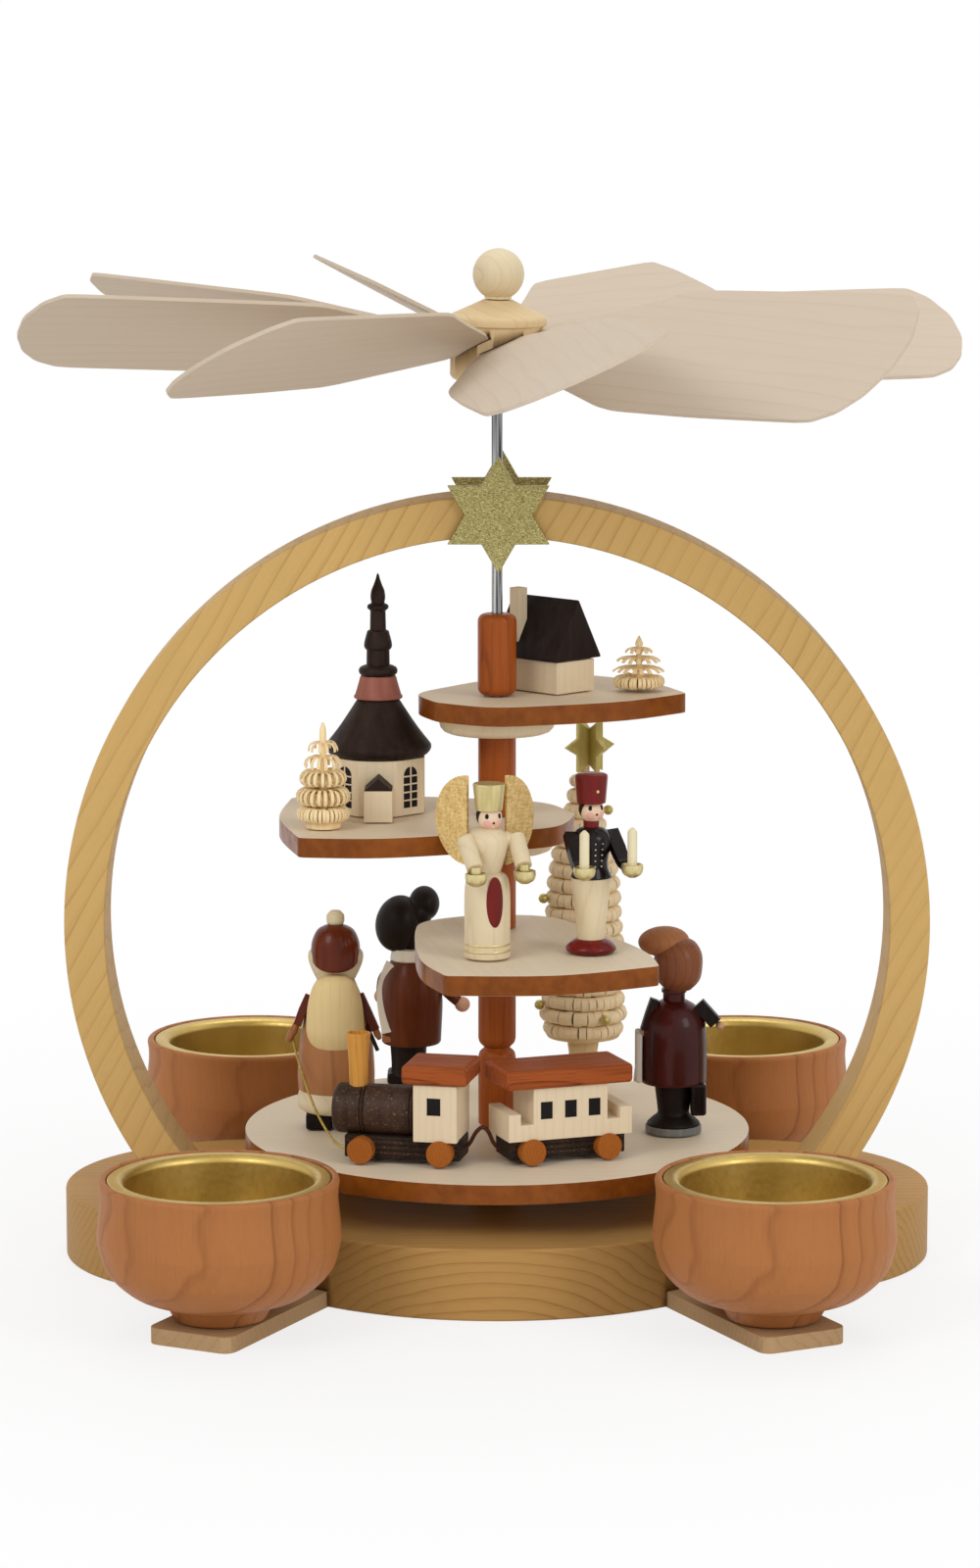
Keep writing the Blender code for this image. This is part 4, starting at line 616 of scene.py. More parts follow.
ring = Piece("arch_ring", "stand", replaces=["arch"], slot="ash")
outer_end, inner_end = (-90 + acos((ARCH_CENTRE - ARCH_FOOT) / radius) * 180 / pi
                        for radius in (ARCH_OUTER, ARCH_INNER))
ring.slab([*arc((0, ARCH_CENTRE), ARCH_OUTER, outer_end, 180 - outer_end, 150),
           *arc((0, ARCH_CENTRE), ARCH_INNER, 180 - inner_end, inner_end, 150)],
          -ARCH_HALF_WIDTH, ARCH_HALF_WIDTH, ASH, UPRIGHT, soft=0.4)
bore = helper("bush_space", circle(2.9, 32), 155, 175)
ring.made(cutters=[bore])
away(bore)


def hexagram(radius, start):
    """A star with six points; start is the angle of its first point."""
    angles = [radians(start + 30 * i) for i in range(12)]
    reach = (radius, radius / sqrt(3))
    return [(reach[i % 2] * cos(a), reach[i % 2] * sin(a)) for i, a in enumerate(angles)]


for side, shift in (("front", 0.3), ("back", 1.0)):
    low, high = (Vector(corner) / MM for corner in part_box(f"star_{side}"))
    star = Piece(f"foil_star_{side}", "stand", moved(shift, 0, (low.z + high.z) / 2), [f"star_{side}"],
                 "gold")
    star.slab(hexagram((high.z - low.z) / 2, 90), -high.y, -low.y, FOIL, UPRIGHT, soft=0.18)
    star.made()


def dress(node, material, bevel=0.0):
    """A CAD node whose own shape is right: a material and softened edges."""
    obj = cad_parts[node]
    obj.data.materials.clear()
    obj.data.materials.append(material)
    if bevel:
        edge = obj.modifiers.new("soft edges", "BEVEL")
        edge.width = bevel * MM
        edge.segments = 2
        edge.limit_method = "ANGLE"
        edge.angle_limit = radians(35)
        edge.harden_normals = True


for name in CUP_SPOTS:
    dress(f"arm_{name}", BEECH, 0.3)
for side in ("left", "right"):
    dress(f"arch_screw_{side}", STEEL)
dress("bearing_pan", BRASS, 0.15)
dress("arch_bush", BRASS, 0.1)


# Shaft, hub, knob and blades
shaft = Piece("shaft_rod", "carousel", replaces=["shaft"], slot="steel")
SHAFT, SHAFT_TOP = 1.2, 209
shaft.lathe([(0, 16), (SHAFT, 19), (SHAFT, SHAFT_TOP - 0.2), (SHAFT - 0.15, SHAFT_TOP), (0, SHAFT_TOP)],
            STEEL, steps=32)
shaft.made()

WHEEL = moved(z=204, roll=1.2, tip=1.6)
# Each blade's bearing and pitch in degrees, and its outline in shares of its reach and half its width
BLADE_REACH, BLADE_HALF = 105.8, 20.5
BLADE_SETTINGS = ((9, 24), (55, 26), (102.5, 27), (142.5, 23), (191.5, 27), (233, 27.5), (276, 25), (318, 38))
BLADE_SHARES = ((0.118, 0.34), (0.266, 0.71), (0.392, 1.05), (0.454, 1.10), (0.885, 1.28), (0.925, 1.28),
                (0.963, 1.08), (0.995, 0.67), (1, 0.20), (0.982, -0.20), (0.950, -0.48), (0.900, -0.66),
                (0.622, -0.76), (0.420, -0.79), (0.371, -0.75), (0.264, -0.57), (0.118, -0.33))
blade_flat = [(6.8, 3.3), *[(r * BLADE_REACH, h * BLADE_HALF) for r, h in BLADE_SHARES], (6.8, -3.3)]
slot_flat = [(6.5, 3.9), (13.2, 8.0), (13.2, -7.8), (6.5, -3.9)]
slots = []
for number, (pointing, tilt) in enumerate(BLADE_SETTINGS, 1):
    place = WHEEL @ Matrix.Rotation(radians(pointing), 4, "Z") @ Matrix.Rotation(radians(tilt), 4, "X")
    blade = Piece(f"blade_sheet_{number}", "wheel", place, [f"blade_{number}"], "veneer")
    blade.slab(softened(blade_flat, 0.12), -0.45, 0.45, VENEER, soft=0.12)
    blade.made()
    slots.append(helper(f"slot_{number}", slot_flat, -0.75, 0.75, place))
hub = Piece("hub_turned", "wheel", WHEEL, ["hub"], "maple")
hub.lathe([(0, -8), (8.9, -8), (9.7, -7.6), (10.2, -6.9), (10.25, 4.1), (10.3, 4.2), (10.7, 4.25),
           (10.8, 4.5), (10.8, 5.4), (10.65, 5.85), (10.2, 6.35), (3.6, 9.45), (3.4, 9.6), (0, 9.6)], MAPLE,
          steps=96)
bore = helper("shaft_space", circle(1.8, 24), 190, 209.3)
hub.made(cutters=[*slots, bore])
away(*slots, bore)
knob = Piece("knob_ball", "wheel", WHEEL, ["knob"], "maple")
KNOB, NECK = 5.65, 2.95
rise = sqrt(KNOB**2 - NECK**2)
middle = 10.4 + rise
lowest = -90 + acos(rise / KNOB) * 180 / pi
knob.lathe([(0, 7.7), (1.5, 7.7), (1.5, 9.9), (NECK, 9.9), (NECK, 10.4),
            *arc((0, middle), KNOB, lowest, 90, 24)[1:-1], (0, middle + KNOB)], PALE)
knob.made()


# Tiers and what holds them on the shaft
# Radii, a tier's thickness, the tiers' upper faces, the foot of what stands there, and the shelves' outlines:
# each has its bearing, then what shelf_outline takes
BORE, COLUMN, PLATFORM, TIER = 1.5, 4.2, 56.6, 4.4
PLATFORM_TOP, TOPS = 28.45, {"third": 73.7, "second": 99.3, "top": 126.0}
ON_PLATFORM, ON_THIRD, ON_SECOND, ON_TOP = 28.75, 74.0, 99.6, 126.3
SHELVES = {
    "top": (37, 42, 36.8, 21.5, 18, 23.5, 19, 16.8),
    "second": (184, 48.5, 45, 28, 26, 30, 22.5, 17.5),
    "third": (-76.5, 56.3, 51.3, 23.6, 32, 24.8, 18.8, 17.2),
}


def rounded_corners(outline, rounds=3):
    """An outline whose points are drawn towards their neighbours, which takes off its corners."""
    for _ in range(rounds):
        outline = [((a[0] + 2 * b[0] + c[0]) / 4, (a[1] + 2 * b[1] + c[1]) / 4)
                   for a, b, c in zip([outline[-1], *outline], outline, [*outline[1:], outline[0]])]
    return outline


def shelf_outline(reach, corner_reach, corner_half, wide_reach, wide_half, waist_half, inner):
    """A tongue along +X whose bowed end has two corners, rounded behind the shaft."""
    corner, side, waist = (corner_reach, corner_half), (wide_reach, wide_half), (0, waist_half)
    shoulder = (-inner / sqrt(2), waist_half / sqrt(2))
    flank = smooth([corner, side, waist, shoulder, (-inner, 0)], 12)
    mirrored = [(x, -y) for x, y in reversed(flank[:-1])]
    edge = smooth([mirrored[-1], (reach, 0), corner], 24)
    return rounded_corners([*flank, *mirrored, *edge[1:-1]])


def tier(name, outline, top, node, turn=0):
    made = Piece(name, "carousel", moved(0, 0, top, turn), [node], "tier")
    made.slab(outline, -TIER, 0, TIER_FACE, soft=0.22, side_paint=TIER_EDGE)
    hole = helper("shaft_hole", circle(BORE, 24), top - 10, top + 10)
    made.made(cutters=[hole])
    away(hole)


tier("platform_disc", circle(PLATFORM, 180), PLATFORM_TOP, "platform")
for name, (azimuth, *sizes) in SHELVES.items():
    tier(f"{name}_tier", shelf_outline(*sizes), TOPS[name], f"{name}_shelf", azimuth)


def sleeve(name, node, profile, material, slot, bottom=0.0):
    made = Piece(name, "carousel", moved(0, 0, bottom), [node], slot)
    height = profile[-1][1]
    low = profile[0][1]
    made.lathe([(BORE, low), *profile, (BORE, height)], material, ring=True)
    made.made()


def rounded_rod(radius, bottom, top, lower, upper):
    return [*arc((radius - lower, bottom + lower), lower, -90, 0, 6),
            *arc((radius - upper, top - upper), upper, 0, 90, 6)]


lower_rod = rounded_rod(COLUMN, ON_PLATFORM, 69.0, 0.8, 0.2)
neck = smooth([(COLUMN, 44.4), (3.9, 45.5), (3.1, 46.25), (2.9, 46.55), (3.1, 46.85), (3.9, 47.7),
               (COLUMN, 48.7)], 4)
sleeve("column_low_turned", "column_lower", [*lower_rod[:7], *neck, *lower_rod[7:]], PADAUK, "padauk")
sleeve("column_mid_turned", "column_middle", rounded_rod(COLUMN, ON_THIRD, 91.0, 0.15, 0.15), PADAUK,
       "padauk")
sleeve("column_up_turned", "column_upper", rounded_rod(COLUMN, ON_SECOND, 117.7, 0.15, 0.15), PADAUK,
       "padauk")
sleeve("handle_turned", "handle", rounded_rod(4.3, ON_TOP, 144.5, 1.7, 1.7), PADAUK, "padauk")
washer = [(10.9, 0), (11.9, 0.4), (12.6, 1.2), (12.88, 2.2), (12.9, 3.1), (12.8, 3.25), (12.6, 3.3)]
for name, bottom in (("second_washer", 91.3), ("top_washer", 118.0)):
    sleeve(f"{name}_turned", name, washer, BIRCH, "maple", bottom)


# Church: eight sides, porch with a dark gable, windows with cream bars, round roof, collar and spire
CHURCH = moved(-26.5, 5.5, ON_SECOND)
church = Piece("church_body", "carousel", CHURCH, ["church_walls"], "birch")
WALL = 10.25
church.slab(arc((0, 0), WALL / cos(pi / 8), 22.5, 382.5, 8)[:-1], 0, 12.4, BIRCH, soft=0.12)
church.box((6.3, 8.5, 6.95), (0.3, -13.95, 3.475), BIRCH, soft=0.12)
church.slab([(-2.75, 6.95), (3.45, 6.95), (0.35, 9.75)], 10.1, 18.1, WENGE, UPRIGHT, soft=0.08)


def arched(half, low, spring):
    """A window's outline with a round head."""
    return [(-half, low), (half, low), *arc((0, spring), half, 0, 180, 12)]


for azimuth in (45, 135, 225, 315):
    wall = moved(turn=azimuth) @ moved(y=-WALL, tip=90)
    church.slab(arched(2.05, 1.7, 8.8), -0.05, 0.07, WINDOW, wall)
    for height in (3.4, 5.2, 6.95, 8.75):
        church.box((4.2, 0.3, 0.2), (0, height, 0.1), BIRCH, wall, soft=0)
    church.box((0.34, 9.15, 0.2), (0, 6.28, 0.1), BIRCH, wall, soft=0)
church.made()

roof = Piece("church_roof_turned", "carousel", CHURCH @ moved(z=12.7), ["church_roof"], "wenge")
roof.lathe([(0, 0), (10.7, 0), *smooth([(11.1, 0.3), (11.7, 1.1), (11.8, 1.9), (11.45, 2.6), (8.4, 6.6),
                                        (4.75, 12.2)], 5), (4.5, 12.45), (0, 12.6)], WENGE)
roof.made()
spire = Piece("church_spire_turned", "carousel", CHURCH @ moved(z=25.2), ["church_spire"], "wenge")
spire.lathe([(0, 0), (4.95, 0), *arc((5.05, 0.4), 0.4, -80, 50, 6),
             *smooth([(5.15, 0.9), (4.75, 2.2), (4.25, 4.0), (4.0, 4.9)], 4), (3.8, 5.1), (0, 5.1)], ROSE)
spire.lathe([(0, 5.0), (3.6, 5.1), *arc((3.3, 6.2), 1.05, -75, 75, 8), (3.3, 7.35), (2.6, 7.5), (2.55, 10.9),
             *smooth([(2.75, 11.0), (3.1, 11.6), (3.05, 12.6), (2.7, 14.0), (2.4, 15.1)], 4), (1.8, 15.4),
             (1.7, 19.6), *arc((1.75, 20.5), 0.65, -70, 70, 6), (1.5, 21.3),
             *smooth([(1.5, 21.6), (1.65, 22.8), (1.45, 24.2), (1.0, 25.3), (0.5, 26.7), (0.28, 27.6)], 4),
             (0, 28.1)], WENGE)
spire.made()

# House with a block roof and a chimney
HOUSE = moved(12.2, 9.1, ON_TOP, 45)
house = Piece("house_body", "carousel", HOUSE, ["house_walls"], "birch")
house.box((11.9, 18.6, 7.1), (0, 1.8, 3.55), BIRCH, soft=0.15)
house.made()
house_roof = Piece("house_roof_block", "carousel", HOUSE @ moved(z=7.4), ["house_roof"], "wenge")
house_roof.slab([(-7.4, 0), (7.4, 0), (7.2, 0.6), (0.3, 13.3), (-0.3, 13.3), (-7.2, 0.6)], -11.9, 8.3,
                DARK_WENGE, UPRIGHT, soft=0.3)
house_roof.box((2.8, 2.8, 12.4), (-4.3, 6.2, 9.2), BIRCH, soft=0.12)
house_roof.made()


# Trees with curled shavings
def strip(piece, bearing, path, width, thick, place=HERE, colour=CURLS):
    """One shaving along points of (out from the trunk, height)."""
    out = Vector((cos(bearing), sin(bearing), 0))
    half = width / 2
    section = [(-half, -thick / 2), (half, -thick / 2), (half, thick / 2), (-half, thick / 2)]
    side = (-sin(bearing), cos(bearing), 0)
    piece.sweep([out * r + Vector((0, 0, z)) for r, z in path], section, colour, side=side, place=place)


def rolled(start, middle, loop, turns, first=100, shrink=0.55, steps=14):
    """The path of a shaving that runs out from the trunk and rolls down and inwards."""
    path = [start]
    for i in range(steps + 1):
        t = i / steps
        angle = radians(first - 360 * turns * t)
        radius = loop * (1 - shrink * t)
        path.append((middle[0] + radius * cos(angle), middle[1] + radius * sin(angle)))
    return path


def curl_tier(piece, height, radius, loop, turns, count, width, trunk, rise=0.0, thick=0.18, colour=CURLS,
              **more):
    """A ring of rolled shavings; radius is the outside of the ring."""
    offset = CHANCE.random() * 2 * pi
    for i in range(count):
        bearing = offset + 2 * pi * (i + CHANCE.uniform(-0.12, 0.12)) / count
        size = loop * CHANCE.uniform(0.92, 1.06)
        centre = (radius - size, height + CHANCE.uniform(-0.12, 0.12))
        strip(piece, bearing, rolled((trunk, height + rise), centre, size, turns, **more), width, thick,
              colour=colour)


def arched_tier(piece, height, radius, count, width):
    """A ring of shavings that arch out from the trunk and bend down at their tips."""
    offset = CHANCE.random() * 2 * pi
    for i in range(count):
        bearing = offset + 2 * pi * (i + CHANCE.uniform(-0.12, 0.12)) / count
        reach = radius * CHANCE.uniform(0.92, 1.03)
        path = [(0.6, height - 0.2), (reach * 0.45, height + 0.8), (reach * 0.8, height + 0.6),
                (reach, height - 0.1)]
        strip(piece, bearing, smooth(path, 3), width, 0.22)


PINE = moved(20, 38, ON_PLATFORM)
pine = Piece("pine_shavings", "carousel", PINE, ["pine_tree"], "birch")
pine.lathe([(0, 0), (3.4, 0), (3.5, 0.15), *smooth([(3.45, 4), (3.3, 8), (3.6, 10.4)], 4), (2.4, 30),
            (1.2, 72), (0, 76)], MAPLE, steps=48)
pine.lathe([(3.5, 11.2), (5.6, 11.7), (8.3, 12.4), (8.8, 13.2), (6.0, 13.8), (3.5, 13.8)], MAPLE, steps=48,
           ring=True)
PINE_REACH = smooth([(9.6, 13.6), (10.3, 17.5), (9.9, 23), (9.6, 32), (9.3, 44), (8.4, 51), (7.2, 57),
                     (5.6, 62), (4.5, 67), (3.4, 72)], 8)
tier_height = 14.4
while tier_height < 73.5:
    reach = min(PINE_REACH, key=lambda p: abs(p[1] - tier_height))[0]
    reach *= CHANCE.uniform(0.95, 1.0)
    loop = min(1.75, reach * 0.42)
    curl_tier(pine, tier_height, reach, loop, 0.95, max(round(2 * pi * reach / 1.85), 9),
              1.66 * min(1, reach / 6 + 0.3), 1.5, rise=0.6, thick=0.28, colour=ROLLS, shrink=0.35, first=120,
              steps=12)
    tier_height += 3.4
for spot in ((5.6, -1.6, 65.8), (-9.3, -3.4, 45.4), (-10.2, -3.4, 20.4), (4.9, -9.7, 18.0)):
    pine.ball((1.15, 1.15, 1.15), spot, TREE_GOLD, steps=20)
pine.stick([(0, 0, 73), (0.4, 0, 76), (1.1, 0, 79)], [1.3, 1.0, 0.5], MAPLE)
for turn in (34, 124):
    pine.slab(hexagram(6.8, 0), -0.6, 0.6, TREE_GOLD, moved(1.3, 0, 80.45, turn) @ UPRIGHT, soft=0.15)
pine.made()

small = Piece("church_tree_shavings", "carousel", moved(-38, -19, ON_SECOND), ["church_tree"], "birch")
small.lathe([(0, 0), (1.5, 0), (1.6, 0.3), (1.2, 0.7), (0.85, 1.5), (0.8, 10), (0.75, 20.4), (0.7, 21.6),
             (0.35, 22.9), (0, 23.3)], CURLS, steps=20)
small.lathe([(0, 0), (3.7, 0), (3.9, 0.4), (3.7, 1.7), (3.0, 2.3), (0, 2.4)], CURLS, steps=40)
curl_tier(small, 2.95, 6.0, 1.75, 1.4, 38, 0.72, 0.7, rise=1.2, first=115, steps=18)
curl_tier(small, 6.85, 6.1, 1.9, 1.5, 24, 0.7, 0.7, rise=1.4, steps=20)
curl_tier(small, 10.8, 5.3, 1.8, 1.5, 19, 0.7, 0.7, rise=1.6, steps=20)
curl_tier(small, 13.9, 4.1, 1.8, 0.34, 14, 0.7, 0.7, rise=1.7, shrink=0.05)
curl_tier(small, 17.3, 3.3, 1.6, 0.31, 11, 0.65, 0.7, rise=1.4, shrink=0.05)
small.made()

small = Piece("house_tree_shavings", "carousel", moved(31.7, 8, ON_TOP), ["house_tree"], "birch")
small.lathe([(0, 0), (1.2, 0), (1.0, 3), (0.7, 6), (0.6, 9.4), (0.9, 10.4), (0.55, 11.4), (0, 12.3)], CURLS,
            steps=20)
curl_tier(small, 1.8, 5.9, 1.4, 1.3, 34, 0.8, 0.9, rise=1.0, first=115, steps=16)
arched_tier(small, 4.4, 5.8, 17, 0.95)
arched_tier(small, 6.6, 5.0, 14, 0.9)
arched_tier(small, 8.6, 3.1, 10, 0.8)
small.made()


# Figures: each is built round its own axis. The angel and the miner look towards -Y before they are turned,
# and the others have their backs or a side there.
def spot_on_ball(piece, centre, radii, azimuth, elevation, size, colour, stretch=1.0):
    """A painted dot that lies on a ball-shaped head, at angles from its front."""
    sag = size**2 / 2 / radii[0]
    reach = radii[0] + (radii[2] - radii[0]) * abs(sin(radians(elevation)))
    place = moved(*centre, azimuth, 90 - elevation) @ moved(z=reach) @ Matrix.Diagonal((1, stretch, 1, 1))
    piece.lathe([(0, -sag - 0.2), (size, -sag - 0.2), (size, -sag), (size * 0.7, 0.05 - sag / 2), (0, 0.07)],
                colour, place, steps=20)


def face(piece, centre, radii, lift=0):
    """Oval eyes, rosy cheeks and a small mouth."""
    for side in (-1, 1):
        spot_on_ball(piece, centre, radii, side * 34, 12 + lift, 0.42, INK, 1.35)
        spot_on_ball(piece, centre, radii, side * 33, lift - 30, 1.0, CHEEK)
    spot_on_ball(piece, centre, radii, 0, lift - 20, 0.3, RED)


def wrapped(faces, radius):
    """Bends a flat form that faces -Y round an upright cylinder."""
    for v in {v for f in faces for v in f.verts}:
        out = radius - v.co.y
        v.co.x, v.co.y = out * sin(v.co.x / radius), -out * cos(v.co.x / radius)


def bowl(piece, x, y, z, radius=2.3, depth=2.7):
    """A small turned bowl with a rolled edge, its rim at this height."""
    piece.lathe([(0, -depth), *smooth([(radius * 0.35, -depth), (radius * 0.85, -depth * 0.72),
                                       (radius, -depth * 0.32)], 4), (radius * 0.97, -0.1),
                 (radius * 0.85, 0), (radius * 0.7, -0.25), (0, -0.5)], GOLD, moved(x, y, z), steps=40)


ANGEL = moved(-2.1, -36, ON_THIRD, 20)
angel = Piece("angel_figure", "carousel", ANGEL, ["angel"], "maple")
angel.lathe([(0, 0), (4.6, 0), (5.0, 0.3), (5.05, 1.2), (4.9, 1.5)], PALE)
for height in (1.5, 2.95):
    angel.lathe([(4.7, height), (5.02, height), (5.08, height + 0.2), (5.02, height + 0.4),
                 (4.7, height + 0.4)], GOLD, ring=True)
angel.lathe([(0, 1.4), (4.92, 1.5), *smooth([(4.94, 3.1), (4.97, 8), (4.95, 13.5), (4.7, 16.4), (4.1, 18.0),
                                             (2.9, 18.7)], 4), (0, 18.8)], PALE)
angel.lathe([(0, 18.2), *smooth([(2.7, 18.4), (3.4, 20.4), (4.35, 24.0), (4.3, 26.4), (3.1, 27.9),
                                 (1.6, 28.3)], 5), (0, 28.4)], PALE)
oval = angel.lathe([(0, -0.3), (0.9, -0.3), (1.75, -0.3), (1.75, 0.04), (1.5, 0.16), (0.75, 0.2), (0, 0.2)],
                   RED, moved(0, 0, 12.8) @ Matrix.Diagonal((1.1, 1, 3.15, 1)) @ UPRIGHT, steps=40)
wrapped(oval, 4.95)
HEAD = (0.5, -0.2, 30.6)
angel.ball((2.65, 2.65, 2.9), HEAD, SKIN)
angel.ball((2.68, 2.35, 2.85), (HEAD[0] - 0.15, HEAD[1] + 0.6, 31.0), HAIR)
face(angel, HEAD, (2.65, 2.65, 2.9))
angel.lathe([(0, 32.2), (2.85, 32.2), (2.92, 32.4), (3.42, 37.3), (3.5, 37.7), (3.3, 38.0), (2.9, 37.9),
             (0, 37.7)], GOLD, moved(0.35, -0.1))
for side, top, hand in ((-1, 5.3, 5.0), (1, 6.2, 6.1)):
    angel.ball((2.4, 2.0, 1.9), (side * 3.9, -0.2, 25.5), PALE)
    angel.stick([(side * top, -0.9, 26.0), (side * hand, -6.2, 20.6)], [1.95, 1.8], PALE, steps=32)
    angel.lathe([(0, 0.2), (1.15, 0.2), (1.1, 1.6), (0, 1.7)], GOLD, moved(side * hand, -6.7, 19.5), steps=24)
    bowl(angel, side * hand, -6.8, 19.8, 2.4, 2.9)
    wing = moved(turn=-16) @ moved(side * 4.1, 1.4, 29.7, 49 if side > 0 else 131, tip=90)
    angel.slab(arc((0, 0), 9.75, -90, 90, 40), -0.35, 0.35, WING_GOLD, wing, soft=0.12)
angel.made()

MINER = moved(20.4, -29.5, ON_THIRD, 23)
miner = Piece("miner_figure", "carousel", MINER, ["miner"], "wenge")
miner.lathe([(0, 0), (4.9, 0), *smooth([(5.4, 0.4), (5.45, 1.1), (4.7, 2.1), (3.6, 2.8), (2.9, 3.0)], 4),
             (0, 3)], RED)
miner.lathe([(0, 2.8), (2.98, 2.9), (4.3, 16.4), (0, 16.6)], PALE)
miner.lathe([(0, 16.5), *smooth([(4.4, 16.5), (4.5, 16.75), (3.75, 18.6), (3.75, 20.4), (4.3, 23.6),
                                 (4.2, 25.6), (2.9, 27.2), (1.5, 27.6)], 5), (0, 27.6)], COAT_BLACK)
miner.lathe([(0, 27.3), (1.7, 27.3), (1.75, 28.9), (0, 29.0)], RED, steps=40)
HEAD = (0.2, 0, 31.0)
miner.ball((2.6, 2.6, 2.7), HEAD, SKIN)
miner.ball((2.64, 2.3, 2.65), (0.05, 0.6, 31.4), HAIR)
face(miner, HEAD, (2.6, 2.6, 2.7), 8)
miner.lathe([(0, 32.8), (3.1, 32.8), (3.17, 33.1), (3.6, 38.4), (3.5, 38.9), (2.9, 39.2), (0, 39.35)], RED)
miner.lathe([(0, -0.2), (0.42, -0.2), (0.33, 0.15), (0, 0.2)], GOLD, moved(0, -3.3, 35.6, 4, tip=90),
            steps=16)
for side in (-1, 1):
    for row in range(5):
        height = 19.3 + row * 1.25
        out = 3.85 + row * 0.1
        miner.ball((0.2, 0.2, 0.2), (sin(radians(11)) * out * side, -cos(radians(11)) * out, height),
                   CLOTH_GREY, steps=10)
    hand = (side * 5.5, -8.1 if side < 0 else -8.8, 19.2)
    slat = [(-1.55, -0.9), (1.55, -0.9), (1.55, 0.9), (-1.55, 0.9)]
    arm = [(side * 4.7, 0.3, 26.2), (side * 5.1, -2.6, 22.9), (side * 5.4, -5.4, 19.9), hand]
    miner.sweep(smooth(arm, 3), slat, COAT_BLACK, side=(1, 0, 0),
                sizes=[1, 1, 1, 1, 0.96, 0.92, 0.86, 0.78, 0.66, 0.5])
    miner.ball((2.1, 1.9, 1.7), (side * 3.5, 0.1, 25.0), COAT_BLACK)
    cup = (side * 5.5, hand[1] - 0.6)
    bowl(miner, *cup, 20.4, 2.4, 2.9)
    miner.lathe([(0, -0.9), (1.05, -0.9), (1.05, 7.0), (0.9, 7.3), (0.3, 7.9), (0, 8.0)], CANDLE,
                moved(*cup, 20.4), steps=32)
miner.made()

GNOME = moved(-36.1, -1.0, ON_PLATFORM)
gnome = Piece("gnome_figure", "carousel", GNOME, ["gnome"], "cherry")
for side in (-1, 1):
    gnome.box((5.9, 8.6, 3.7), (side * 3.75, -0.6, 1.85), BLACK, soft=0.6)
gnome.lathe([(0, 3.65), *arc((6.7, 5.8), 2.14, -90, 20, 10), (8.5, 7.6), (8.2, 8.6), (0, 8.6)], PALE)
gnome.lathe([(0, 8.5), (8.2, 8.5), *smooth([(8.5, 8.8), (8.65, 11.5), (8.6, 14), (8.2, 19), (7.3, 24),
                                            (6.0, 29), (4.8, 32), (4.0, 34)], 4), (0, 34.2)], GNOME_WOOD)
gnome.lathe([(0, 32.8), *smooth([(3.9, 32.9), (4.4, 33.7), (5.5, 36.0), (6.15, 38.2), (5.9, 39.8), (4.4, 41)],
                                4), (0, 41)], PALE, moved(0, 0.6) @ Matrix.Diagonal((1, 0.84, 1, 1)))
cap = gnome.lathe([(0, 38.3), (5.2, 38.3), *smooth([(5.35, 38.5), (5.5, 40.0), (5.2, 42.4), (4.0, 44.8),
                                                    (2.0, 45.9)], 5), (0, 46.2)], BROWN)
for v in {v for f in cap for v in f.verts if v.co.z < 42}:
    share = (42 - v.co.z) / 3.7
    v.co.z += 0.45 * v.co.y * share
    v.co.y -= 0.5 * share
gnome.lathe([(0, -1.9), *smooth([(1.1, -1.75), (1.9, -0.9), (2.0, 0), (1.9, 0.9), (1.1, 1.8)], 4), (0, 1.9)],
            CANDLE, moved(0, 0.4, 47.2), steps=32)
sack = smooth([(1.6, -8.6), (4.6, -7.4), (6.3, -4.2), (6.45, -1.2), (6.1, 2.6), (5.3, 5.9), (4.2, 8.0),
               (2.4, 9.1)], 5)
gnome.lathe([(0, -8.7), *sack, (0, 9.3)], SACK, moved(0, -5.0, 26.0) @ Matrix.Diagonal((1, 0.66, 1, 1)))
slat = [(-0.9, -1.3), (0.9, -1.3), (0.9, 1.3), (-0.9, 1.3)]
palm = [(0.9 * c, 1.25 * s) for c, s in circle(1, 12)]
gnome.sweep([(-5.9, -0.6, 30.0), (-7.4, -1.4, 26.8), (-8.6, -2.4, 23.4)], slat, BROWN, side=(0.95, 0, -0.3))
gnome.sweep([(-8.6, -2.4, 24.0), (-9.4, -2.8, 22.3), (-10.3, -3.1, 20.6), (-10.7, -3.3, 19.9)], palm, TAN,
            side=(0.9, 0, -0.4), sizes=[0.8, 1.05, 0.95, 0.55])
gnome.sweep([(5.3, -0.6, 30.2), (7.0, -1.4, 26.6), (8.9, -2.0, 22.3)], slat, BROWN, side=(0.92, 0, 0.38))
gnome.sweep([(8.7, -2.0, 22.9), (9.4, -2.2, 21.2), (9.9, -2.3, 20.2)], palm, TAN, side=(0.92, 0, 0.38),
            sizes=[0.8, 0.9, 0.5])
gnome.stick([(7.0, -2.9, 23.5), (9.4, -3.0, 17.8)], [0.5, 0.45], WENGE, steps=12)
gnome.made()

HAT_MAN = moved(-20, 44, ON_PLATFORM)
hat_man = Piece("hat_man_figure", "carousel", HAT_MAN, ["hat_man"], "wenge")
for side in (-1, 1):
    hat_man.box((4.1, 7.8, 2.7), (side * 2.6 - 1.0, 0.8, 1.35), BLACK, soft=0.7)
hat_man.lathe([(0, 1.8), *smooth([(4.4, 2.0), (4.0, 3.4), (4.1, 6.5), (4.35, 9.8)], 4), (0, 9.9)], BLACK,
              moved(-0.7))
hat_man.lathe([(0, 9.6), (6.6, 9.6), *smooth([(6.9, 10.0), (7.1, 14), (7.3, 19), (7.0, 22.5), (6.1, 26),
                                              (5.2, 28.4), (4.4, 29.7)], 5), (0, 29.8)], COAT_BROWN)
hat_man.lathe([(0, 29.3), (4.5, 29.3), (4.75, 29.6), (4.6, 30.4), (4.3, 32.0), (0, 32.2)], LINEN,
              moved(-0.2, -0.2))
sash = []
